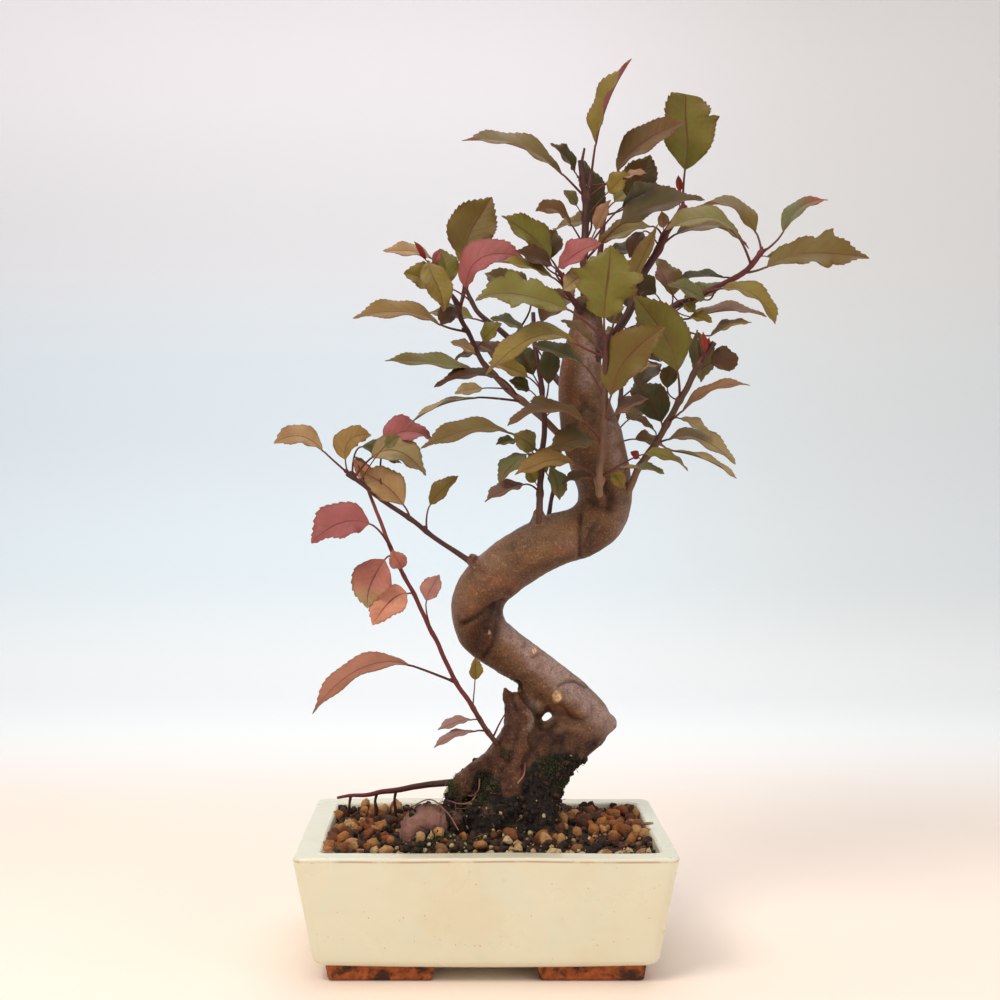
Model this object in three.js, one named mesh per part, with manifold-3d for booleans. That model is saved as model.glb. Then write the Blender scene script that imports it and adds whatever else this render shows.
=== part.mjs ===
// An apple bonsai in its glazed pot, in millimetres, +Z up, standing on z = 0.
// Places are read as they are seen from one level eye point: [x, z, y] gives x and z
// where the sight line meets the middle plane of the pot, and y the true depth,
// negative in front of that plane and positive behind it.
import * as THREE from 'three';
import { mergeVertices } from 'three/addons/utils/BufferGeometryUtils.js';
import Module from 'manifold-3d';

const wasm = await Module();
wasm.setup();

// Driving dimensions
const eye = { x: -10.9, z: 254, distance: 839 };
const gap = 0.3;
const pot = {
  length: 190, depth: 142, height: 64.4, footHeight: 8.8, taper: 9.5, corner: 6, edge: 4,
  rimLeft: 13, rimRight: 8.5, rimFront: 13, rimBack: 12, rimRound: 1.6, floor: 5.4, wallTaper: 7,
  footStart: 25, footLength: 55, footInset: 14, footWidth: 11, footSideLength: 34, footSlope: 1.5,
  drainRadius: 9, drainSides: 12, drainSpacing: 78,
};
const drainMesh = { side: 26, thickness: 1.2, holes: 3, bar: 2 };
const soil = {
  columns: 19, rows: 14, edgeZ: 59, moundHeight: 6, moundX: 12, moundSpread: 42, backRise: 2,
  grain: 1.5, lump: 0.8, lumpsAlong: 0.31, lumpsAcross: 0.27, deepZ: -1000,
};
const bark = {
  sides: 12, rings: 42, relief: 0.035, twist: 0.35, rootSides: 6, rootRelief: 0.07, twigSides: 5, room: 0.4,
};
const blade = {
  thickness: 1.1, fold: 16, arch: 0.07, longFrom: 34, shortTo: 17,
  petiole: 0.8, petioleRun: 7, elbowAlong: 0.55, elbowDroop: 0.35,
};

const colours = {
  pot: 0xe3e2c2, mesh: 0x2a2c2e, soil: 0x4a3424, trunk: 0x76655a, shoot: 0x4d2a26,
  olive: 0x5b5428, green: 0x49502a, brown: 0x5c4626, red: 0x8c4038, dark: 0x3d3a1f,
};

// Sight lines

function seen([x, z, y]) {
  const reach = (eye.distance + y) / eye.distance;
  return new THREE.Vector3(eye.x + (x - eye.x) * reach, y, eye.z + (z - eye.z) * reach);
}

function lookedAt(point) {
  const reach = (eye.distance + point.y) / eye.distance;
  return [eye.x + (point.x - eye.x) / reach, eye.z + (point.z - eye.z) / reach];
}

// A seeded draw from 0 to 1
function makeDraw(seed) {
  let state = seed;
  return () => {
    state = (state * 16807) % 2147483647;
    return state / 2147483647;
  };
}

// Solids: a closed list of points and faces, turned outwards

function toSolid(points, faces) {
  const normal = new THREE.Vector3();
  const volume = faces.reduce((sum, [a, b, c]) => (
    sum + points[a].dot(normal.crossVectors(points[b], points[c]))
  ), 0);
  const outward = volume < 0 ? faces.map(([a, b, c]) => [a, c, b]) : faces;
  return new wasm.Manifold(new wasm.Mesh({
    numProp: 3,
    vertProperties: Float32Array.from(points.flatMap((point) => point.toArray())),
    triVerts: Uint32Array.from(outward.flat()),
  }));
}

function fromGeometry(geometry) {
  const bare = geometry.clone();
  bare.deleteAttribute('normal');
  bare.deleteAttribute('uv');
  const merged = mergeVertices(bare, 1e-4);
  const { position } = merged.attributes;
  const points = [];
  for (let i = 0; i < position.count; i += 1) {
    points.push(new THREE.Vector3().fromBufferAttribute(position, i));
  }
  const faces = [];
  for (let i = 0; i < merged.index.count; i += 3) {
    faces.push([0, 1, 2].map((corner) => merged.index.getX(i + corner)));
  }
  return toSolid(points, faces);
}

function toMesh(name, solid, colour, roughness = 0.7) {
  const { vertProperties, triVerts } = solid.getMesh();
  const geometry = new THREE.BufferGeometry();
  geometry.setAttribute('position', new THREE.BufferAttribute(Float32Array.from(vertProperties), 3));
  geometry.setIndex(Array.from(triVerts));
  geometry.computeVertexNormals();
  const material = new THREE.MeshStandardMaterial({ color: colour, roughness, metalness: 0 });
  const mesh = new THREE.Mesh(geometry, material);
  mesh.name = name;
  return mesh;
}

function join(solids) {
  return solids.reduce((sum, solid) => sum.add(solid));
}

// What a cut leaves loose is dropped
function largest(solid) {
  return solid.decompose().reduce((best, piece) => (piece.volume() > best.volume() ? piece : best));
}

// Rings of points joined into one closed skin, with a fan over each end
function loft(rings) {
  const count = rings[0].length;
  const points = rings.flat();
  const faces = [];
  for (let ring = 0; ring + 1 < rings.length; ring += 1) {
    for (let i = 0; i < count; i += 1) {
      const a = ring * count + i;
      const b = ring * count + ((i + 1) % count);
      faces.push([a, b, b + count], [a, b + count, a + count]);
    }
  }
  [[0, 1], [rings.length - 1, -1]].forEach(([ring, turn]) => {
    const centre = new THREE.Vector3();
    rings[ring].forEach((point) => centre.addScaledVector(point, 1 / count));
    points.push(centre);
    for (let i = 0; i < count; i += 1) {
      const a = ring * count + i;
      const b = ring * count + ((i + 1) % count);
      faces.push(turn > 0 ? [points.length - 1, b, a] : [points.length - 1, a, b]);
    }
  });
  return toSolid(points, faces);
}

// A limb runs through stations [x, z, y, radius]; relief swells and grooves its skin
function limbPath(stations) {
  return new THREE.CatmullRomCurve3(stations.map(seen), false, 'centripetal');
}

function limb(stations, shape = {}) {
  const { sides = bark.twigSides, steps = stations.length - 1, relief = 0, grow = 0 } = shape;
  const path = limbPath(stations);
  const spans = stations.length - 1;
  const rings = [];
  const across = new THREE.Vector3(1, 0.2, 0.1).cross(path.getTangent(0));
  for (let step = 0; step <= steps; step += 1) {
    const t = step / steps;
    const along = path.getTangent(t);
    const centre = path.getPoint(t);
    across.addScaledVector(along, -across.dot(along)).normalize();
    const over = new THREE.Vector3().crossVectors(along, across);
    if (step === 0) centre.addScaledVector(along, -grow);
    if (step === steps) centre.addScaledVector(along, grow);
    const span = Math.min(Math.floor(t * spans), spans - 1);
    const [from, to] = [stations[span][3], stations[span + 1][3]];
    const radius = THREE.MathUtils.lerp(from, to, t * spans - span) + grow;
    const ring = [];
    for (let side = 0; side < sides; side += 1) {
      const angle = (2 * Math.PI * side) / sides;
      const turned = step * bark.twist;
      const ridges = Math.sin(3 * angle + turned) + 0.6 * Math.sin(5 * angle - 1.4 * turned);
      const swell = 1 + relief * ridges;
      ring.push(centre.clone()
        .addScaledVector(across, radius * swell * Math.cos(angle))
        .addScaledVector(over, radius * swell * Math.sin(angle)));
    }
    rings.push(ring);
  }
  return loft(rings);
}

// Pot: one fired piece, with four corner feet and two drain holes

function potRing(left, right, front, back, corner, z) {
  const centres = [
    [right - corner, back - corner, 0], [left + corner, back - corner, 1],
    [left + corner, front + corner, 2], [right - corner, front + corner, 3],
  ];
  return centres.flatMap(([x, y, quarter]) => [0, 1, 2, 3].map((step) => {
    const angle = ((quarter + step / 3) * Math.PI) / 2;
    return new THREE.Vector3(x + corner * Math.cos(angle), y + corner * Math.sin(angle), z);
  }));
}

function outerRing(z, inset, corner = pot.corner) {
  const shrink = (pot.taper * (pot.height - z)) / (pot.height - pot.footHeight) + inset;
  const halfLength = pot.length / 2 - shrink;
  const halfDepth = pot.depth / 2 - shrink;
  return potRing(-halfLength, halfLength, -halfDepth, halfDepth, corner, z);
}

const potFloorZ = pot.footHeight + pot.floor;

function innerRing(z, inset) {
  const shrink = (pot.wallTaper * (pot.height - z)) / (pot.height - potFloorZ) + inset;
  return potRing(
    -pot.length / 2 + pot.rimLeft + shrink, pot.length / 2 - pot.rimRight - shrink,
    -pot.depth / 2 + pot.rimFront + shrink, pot.depth / 2 - pot.rimBack - shrink, pot.corner - 2, z,
  );
}

function footSolid(signX, signY) {
  const halfDepth = pot.depth / 2 - pot.footInset;
  const endX = pot.footStart + pot.footLength;
  const foot = (fromX, toX, fromY, toY) => loft([
    [0, pot.footSlope], [pot.footHeight + 1, 0],
  ].map(([z, slope]) => [
    [toX - slope, toY - slope], [fromX + slope, toY - slope],
    [fromX + slope, fromY + slope], [toX - slope, fromY + slope],
  ].map(([x, y]) => new THREE.Vector3(signX * x, signY * y, z))));
  const alongFront = foot(pot.footStart, endX, halfDepth - pot.footWidth, halfDepth);
  const alongSide = foot(endX - pot.footWidth, endX, halfDepth - pot.footSideLength, halfDepth);
  return alongFront.add(alongSide);
}

const drainPlaces = [-pot.drainSpacing / 2, pot.drainSpacing / 2];

function makePot() {
  const bottom = pot.footHeight;
  const body = loft([
    outerRing(bottom, pot.edge, pot.corner - 1),
    outerRing(bottom + pot.edge * 0.35, pot.edge * 0.3),
    outerRing(bottom + pot.edge, 0),
    outerRing(pot.height - pot.rimRound, 0),
    outerRing(pot.height, pot.rimRound, pot.corner - 1),
    innerRing(pot.height, -pot.rimRound),
    innerRing(pot.height - pot.rimRound, 0),
    innerRing(potFloorZ, 0),
  ]);
  const corners = [[1, 1], [1, -1], [-1, 1], [-1, -1]];
  const feet = join(corners.map(([signX, signY]) => footSolid(signX, signY)));
  const drains = join(drainPlaces.map((x) => {
    const { drainRadius: radius, drainSides: sides } = pot;
    const hole = new THREE.CylinderGeometry(radius, radius, 4 * pot.floor, sides);
    return fromGeometry(hole.rotateX(Math.PI / 2).translate(x, 0, potFloorZ));
  }));
  return body.add(feet).subtract(drains);
}

// Drain meshes: plastic screens lying on the pot's floor over its holes

function makeDrainMesh(x) {
  const { side, thickness, holes, bar } = drainMesh;
  const pitch = (side - bar) / holes;
  const plate = fromGeometry(new THREE.BoxGeometry(side, side, thickness));
  const places = Array.from({ length: holes }, (_, index) => (index - (holes - 1) / 2) * pitch);
  const screen = places.reduce((sheet, across) => places.reduce((part, along) => {
    const hole = new THREE.BoxGeometry(pitch - bar, pitch - bar, 2 * thickness);
    return part.subtract(fromGeometry(hole.translate(across, along, 0)));
  }, sheet), plate);
  return screen.translate([x, 0, potFloorZ + gap + thickness / 2]);
}

function drainPocket(x) {
  const room = drainMesh.side + 2 * gap;
  const pocket = new THREE.BoxGeometry(room, room, 2 * (drainMesh.thickness + 2 * gap));
  return fromGeometry(pocket.translate(x, 0, potFloorZ));
}

// Trunk: an S-bent limb with a dead stump, spreading roots and a root knee

const trunkStations = [
  [10, 22, 0, 17], [11, 42, 0, 25], [13, 58, 0, 27], [15, 70, 0, 24.5], [19, 82, 0, 21.5],
  [26, 93, 1, 18.5], [35, 103, 2, 16], [45, 110.5, 4, 15], [54, 118.5, 6, 14.8], [47, 129, 7, 12.6],
  [36, 139, 8, 11.8], [23, 149.5, 8, 11.6], [10, 159, 7, 12.2], [0, 167, 4, 13.4], [-4, 179, 0, 14],
  [0, 191, -4, 14], [10, 201, -7, 14], [24, 210, -8, 14], [38, 216, -7, 13.8], [52, 220.5, -5, 13.6],
  [61, 229, -3, 14], [64, 241, -2, 14.2], [61, 256, -1, 15.4], [57, 271, 0, 16], [53.5, 286, 0, 14],
  [51.5, 300, 0, 11.8], [52, 315, 0, 10.2], [54, 328, 0, 9], [54, 338, 0, 7], [53, 346, 0, 4.5],
];
const stumpStations = [
  [12, 82, -3, 14], [14, 98, -4, 13.5], [18, 108, -4, 11.5], [20.5, 117, -3, 10.4], [19.5, 127, -1, 8.8],
  [15.5, 133.5, -2, 5], [13.5, 137, -2, 1.8],
];
const rootStations = [
  [[8, 99, -2, 8], [-2, 91, -3, 9], [-11, 83, -4, 8.5], [-15, 70, -7, 8], [-18, 54, -10, 5]],
  [[16, 92, -6, 12], [9, 76, -13, 13], [1, 62, -20, 10], [-6, 48, -27, 5]],
  [[20, 90, -4, 12], [25, 76, -12, 11], [30, 62, -18, 8], [36, 48, -24, 4]],
  [[22, 92, 4, 12], [29, 76, 9, 11], [37, 60, 16, 7], [46, 46, 22, 4]],
  [[14, 92, 6, 12], [8, 74, 16, 11], [4, 58, 26, 7], [0, 44, 34, 4]],
  [[-10, 56, -16, 5], [-17, 62, -22, 7], [-26, 67.5, -26, 8.6], [-36, 66, -27, 8.2], [-41, 57, -27, 6],
    [-43, 46, -26, 4]],
];
const elbowStations = [[50, 113, 5, 9], [60, 115.5, 6, 7.5], [67.5, 118, 6, 3.2]];

function makeTrunk(grow) {
  const wood = { sides: bark.sides, steps: bark.rings, relief: bark.relief, grow };
  const rough = { sides: bark.rootSides, relief: bark.rootRelief, grow };
  return join([
    limb(trunkStations, wood),
    limb(stumpStations, rough),
    limb(elbowStations, rough),
    ...rootStations.map((stations) => limb(stations, rough)),
  ]);
}

// Base shoot: a bare runner low over the soil, with three rootlets hanging from it

const shootStations = [
  [-8, 86, -4, 2], [-17, 87, 2, 1.9], [-29, 86.5, 9, 1.7], [-50, 83, 21, 1.5], [-78, 79.5, 37, 1.1],
];
const rootletStations = [
  [[-71, 80.4, 33, 1], [-71.5, 75, 34, 1.1], [-72, 68, 35, 0.9], [-72, 62, 35, 0.6]],
  [[-57, 82.1, 25, 1], [-58, 76, 26, 1.1], [-58, 69, 27, 0.9], [-58, 62, 27, 0.6]],
  [[-47, 83.6, 19.3, 1], [-48, 77, 20, 1.1], [-49, 70, 21, 0.9], [-49, 62, 21, 0.6]],
];

function makeShoot(grow) {
  return join([shootStations, ...rootletStations].map((stations) => limb(stations, { grow })));
}

// Soil: a filled block whose top is raised into a mound covered with grains

function soilTop(x, y, draw) {
  const fromTrunk = Math.hypot(x - soil.moundX, y) / soil.moundSpread;
  const lump = soil.lump * Math.sin(x * soil.lumpsAlong) * Math.cos(y * soil.lumpsAcross);
  const mound = soil.moundHeight * Math.exp(-fromTrunk * fromTrunk);
  const rise = soil.backRise * (y / pot.depth + 0.5);
  return soil.edgeZ + mound + rise + lump + (2 * draw() - 1) * soil.grain;
}

function makeSoil() {
  const draw = makeDraw(4127);
  const { columns, rows } = soil;
  const area = new THREE.Box3().setFromPoints(innerRing(pot.height, -1));
  const index = (column, row) => row * (columns + 1) + column;
  const points = [];
  for (let row = 0; row <= rows; row += 1) {
    for (let column = 0; column <= columns; column += 1) {
      const [shiftX, shiftY] = [(draw() - 0.5) * soil.grain, (draw() - 0.5) * soil.grain];
      const x = THREE.MathUtils.lerp(area.min.x, area.max.x, column / columns) + shiftX;
      const y = THREE.MathUtils.lerp(area.min.y, area.max.y, row / rows) + shiftY;
      points.push(new THREE.Vector3(x, y, soilTop(x, y, draw)));
    }
  }
  const faces = [];
  for (let row = 0; row < rows; row += 1) {
    for (let column = 0; column < columns; column += 1) {
      const [a, b, c, d] = [[0, 0], [1, 0], [1, 1], [0, 1]].map(([i, j]) => index(column + i, row + j));
      faces.push([a, b, c], [a, c, d]);
    }
  }
  const border = [];
  for (let column = 0; column < columns; column += 1) border.push(index(column, 0));
  for (let row = 0; row < rows; row += 1) border.push(index(columns, row));
  for (let column = columns; column > 0; column -= 1) border.push(index(column, rows));
  for (let row = rows; row > 0; row -= 1) border.push(index(0, row));
  points.push(new THREE.Vector3(0, 0, soil.deepZ));
  border.forEach((a, i) => faces.push([a, points.length - 1, border[(i + 1) % border.length]]));
  const filling = loft([
    innerRing(potFloorZ + gap, gap), innerRing(pot.height + soil.moundHeight, gap),
  ]);
  return toSolid(points, faces).intersect(filling);
}

// Leaves: a folded, arched blade with a toothed edge, on its petiole

// Edges as [place along the rib, share of half the width], from base to tip
const lobedEdge = [
  [0.09, 0.34], [0.24, 0.56], [0.27, 0.5], [0.43, 0.82], [0.46, 0.74],
  [0.62, 1], [0.64, 0.62], [0.77, 0.7], [0.8, 0.58], [0.92, 0.34],
];
const broadEdge = [
  [0.1, 0.3], [0.3, 0.62], [0.33, 0.56], [0.52, 0.88], [0.54, 0.8],
  [0.66, 1], [0.67, 0.68], [0.82, 0.74], [0.94, 0.6], [1.02, 0.26],
];

function ovate(t) {
  return Math.sin(Math.PI * Math.pow(t, 0.78)) ** 0.8 * (1.02 - 0.12 * t);
}

function toothedEdge(length) {
  const teeth = 2 + Number(length > blade.shortTo) + Number(length > blade.longFrom);
  const edge = [];
  for (let tooth = 0; tooth < teeth; tooth += 1) {
    const notch = (tooth + 0.3) / (teeth + 0.4);
    const tip = (tooth + 1.05) / (teeth + 0.4);
    edge.push([notch, ovate(notch) * 0.9], [tip, ovate(tip) * 1.06]);
  }
  return edge;
}

function bladeFrame(leaf) {
  const [base, tip] = [leaf.base, leaf.tip].map(seen);
  const axis = tip.clone().sub(base);
  const length = axis.length();
  axis.normalize();
  const facing = new THREE.Vector3(0, -1, 0).addScaledVector(axis, axis.y).normalize();
  const upward = new THREE.Vector3().crossVectors(facing, axis);
  if (upward.z < 0) upward.negate();
  const roll = THREE.MathUtils.degToRad(leaf.roll);
  const normal = facing.multiplyScalar(Math.cos(roll)).addScaledVector(upward, Math.sin(roll));
  const middle = leaf.via
    ? seen([...leaf.via, (leaf.base[2] + leaf.tip[2]) / 2])
    : base.clone().lerp(tip, 0.5).addScaledVector(normal, blade.arch * length);
  const control = middle.multiplyScalar(2).addScaledVector(base, -0.5).addScaledVector(tip, -0.5);
  return { normal, length, rib: new THREE.QuadraticBezierCurve3(base, control, tip) };
}

// The petiole leaves its stem at the point seen nearest to the foot
function stemPoint(stems, [x, z]) {
  let best = { far: Infinity, point: null };
  stems.forEach((stations) => limbPath(stations).getPoints(40).forEach((point) => {
    const [seenX, seenZ] = lookedAt(point);
    const far = Math.hypot(seenX - x, seenZ - z);
    if (far < best.far) best = { far, point };
  }));
  return best.point;
}

// One skin from the foot of the petiole to the tip: a four-sided stalk whose last
// ring opens into the rib, above and below, and the two toothed edges
function leafSolid(leaf, stems) {
  const { normal, length, rib } = bladeFrame(leaf);
  const fold = THREE.MathUtils.degToRad(leaf.fold ?? blade.fold);
  const points = [];
  const faces = [];
  const frameAt = (centre, along) => {
    const up = normal.clone().addScaledVector(along, -normal.dot(along)).normalize();
    return { centre, up, side: new THREE.Vector3().crossVectors(along, up) };
  };
  const addPoint = ({ centre, up, side }, across, above) => {
    points.push(centre.clone().addScaledVector(side, across).addScaledVector(up, above));
    return points.length - 1;
  };

  const base = rib.getPoint(0);
  const start = rib.getTangent(0);
  const back = base.clone().addScaledVector(start, -blade.petioleRun);
  const foot = stemPoint(stems, leaf.foot);
  const elbow = foot.clone().lerp(base, blade.elbowAlong).lerp(back, blade.elbowDroop);
  const rings = [
    [foot, elbow.clone().sub(foot).normalize(), 1.2],
    [elbow, base.clone().sub(foot).normalize(), 1],
    [base, start, 0.9],
  ];
  rings.forEach(([centre, along, swell]) => {
    const frame = frameAt(centre, along);
    const radius = blade.petiole * swell;
    const quarters = [[0, radius], [radius, 0], [0, -radius], [-radius, 0]];
    quarters.forEach(([across, above]) => addPoint(frame, across, above));
  });
  for (let a = 0; a < 8; a += 1) {
    const b = a % 4 === 3 ? a - 3 : a + 1;
    faces.push([b + 4, b, a], [a + 4, b + 4, a]);
  }
  faces.push([0, 1, 2], [0, 2, 3]);

  const tip = points.push(rib.getPoint(1)) - 1;
  const ribSteps = length > blade.longFrom ? 4 : 3;
  const ribRows = [1, -1].map((face) => {
    const row = [[0, face > 0 ? 8 : 10]];
    for (let step = 1; step < ribSteps; step += 1) {
      const t = step / ribSteps;
      const frame = frameAt(rib.getPoint(t), rib.getTangent(t));
      row.push([t, addPoint(frame, 0, (face * blade.thickness) / 2)]);
    }
    return [...row, [1, tip]];
  });
  const edge = leaf.edge ?? toothedEdge(length);
  const edgeRows = [1, -1].map((hand) => [[0, hand > 0 ? 9 : 11], ...edge.map(([t, width]) => {
    const reach = (width * leaf.wide) / 2;
    const frame = frameAt(rib.getPoint(t), rib.getTangent(t));
    return [t, addPoint(frame, hand * reach * Math.cos(fold), reach * Math.sin(fold))];
  }), [1, tip]]);
  ribRows.forEach((ribRow, below) => edgeRows.forEach((edgeRow, other) => {
    const [ribEnd, edgeEnd] = [ribRow.length - 1, edgeRow.length - 1];
    let [i, j] = [0, 0];
    while (i < ribEnd || j < edgeEnd) {
      const onRib = j === edgeEnd || (i < ribEnd && ribRow[i + 1][0] <= edgeRow[j + 1][0]);
      const next = onRib ? ribRow[i + 1][1] : edgeRow[j + 1][1];
      const triangle = [ribRow[i][1], next, edgeRow[j][1]];
      i += onRib ? 1 : 0;
      j += onRib ? 0 : 1;
      if (new Set(triangle).size === 3) {
        faces.push(below === other ? triangle : triangle.reverse());
      }
    }
  }));
  return toSolid(points, faces);
}

function leaf(base, tip, wide, roll, more = {}) {
  return { base, tip, wide, roll, ...more };
}

function makeSpray({ stems, leaves }) {
  return join([
    ...stems.map((stations) => limb(stations)),
    ...leaves.map((one) => leafSolid(one, stems)),
  ]);
}

// Leafy stems. A stem is stations [x, z, y, radius] from inside the trunk outwards.
// A leaf is its blade's base, its tip, its full width and its roll: 0 faces the eye,
// 90 lies edge-on with its upper side up, and more turns its underside to the eye.

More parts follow.
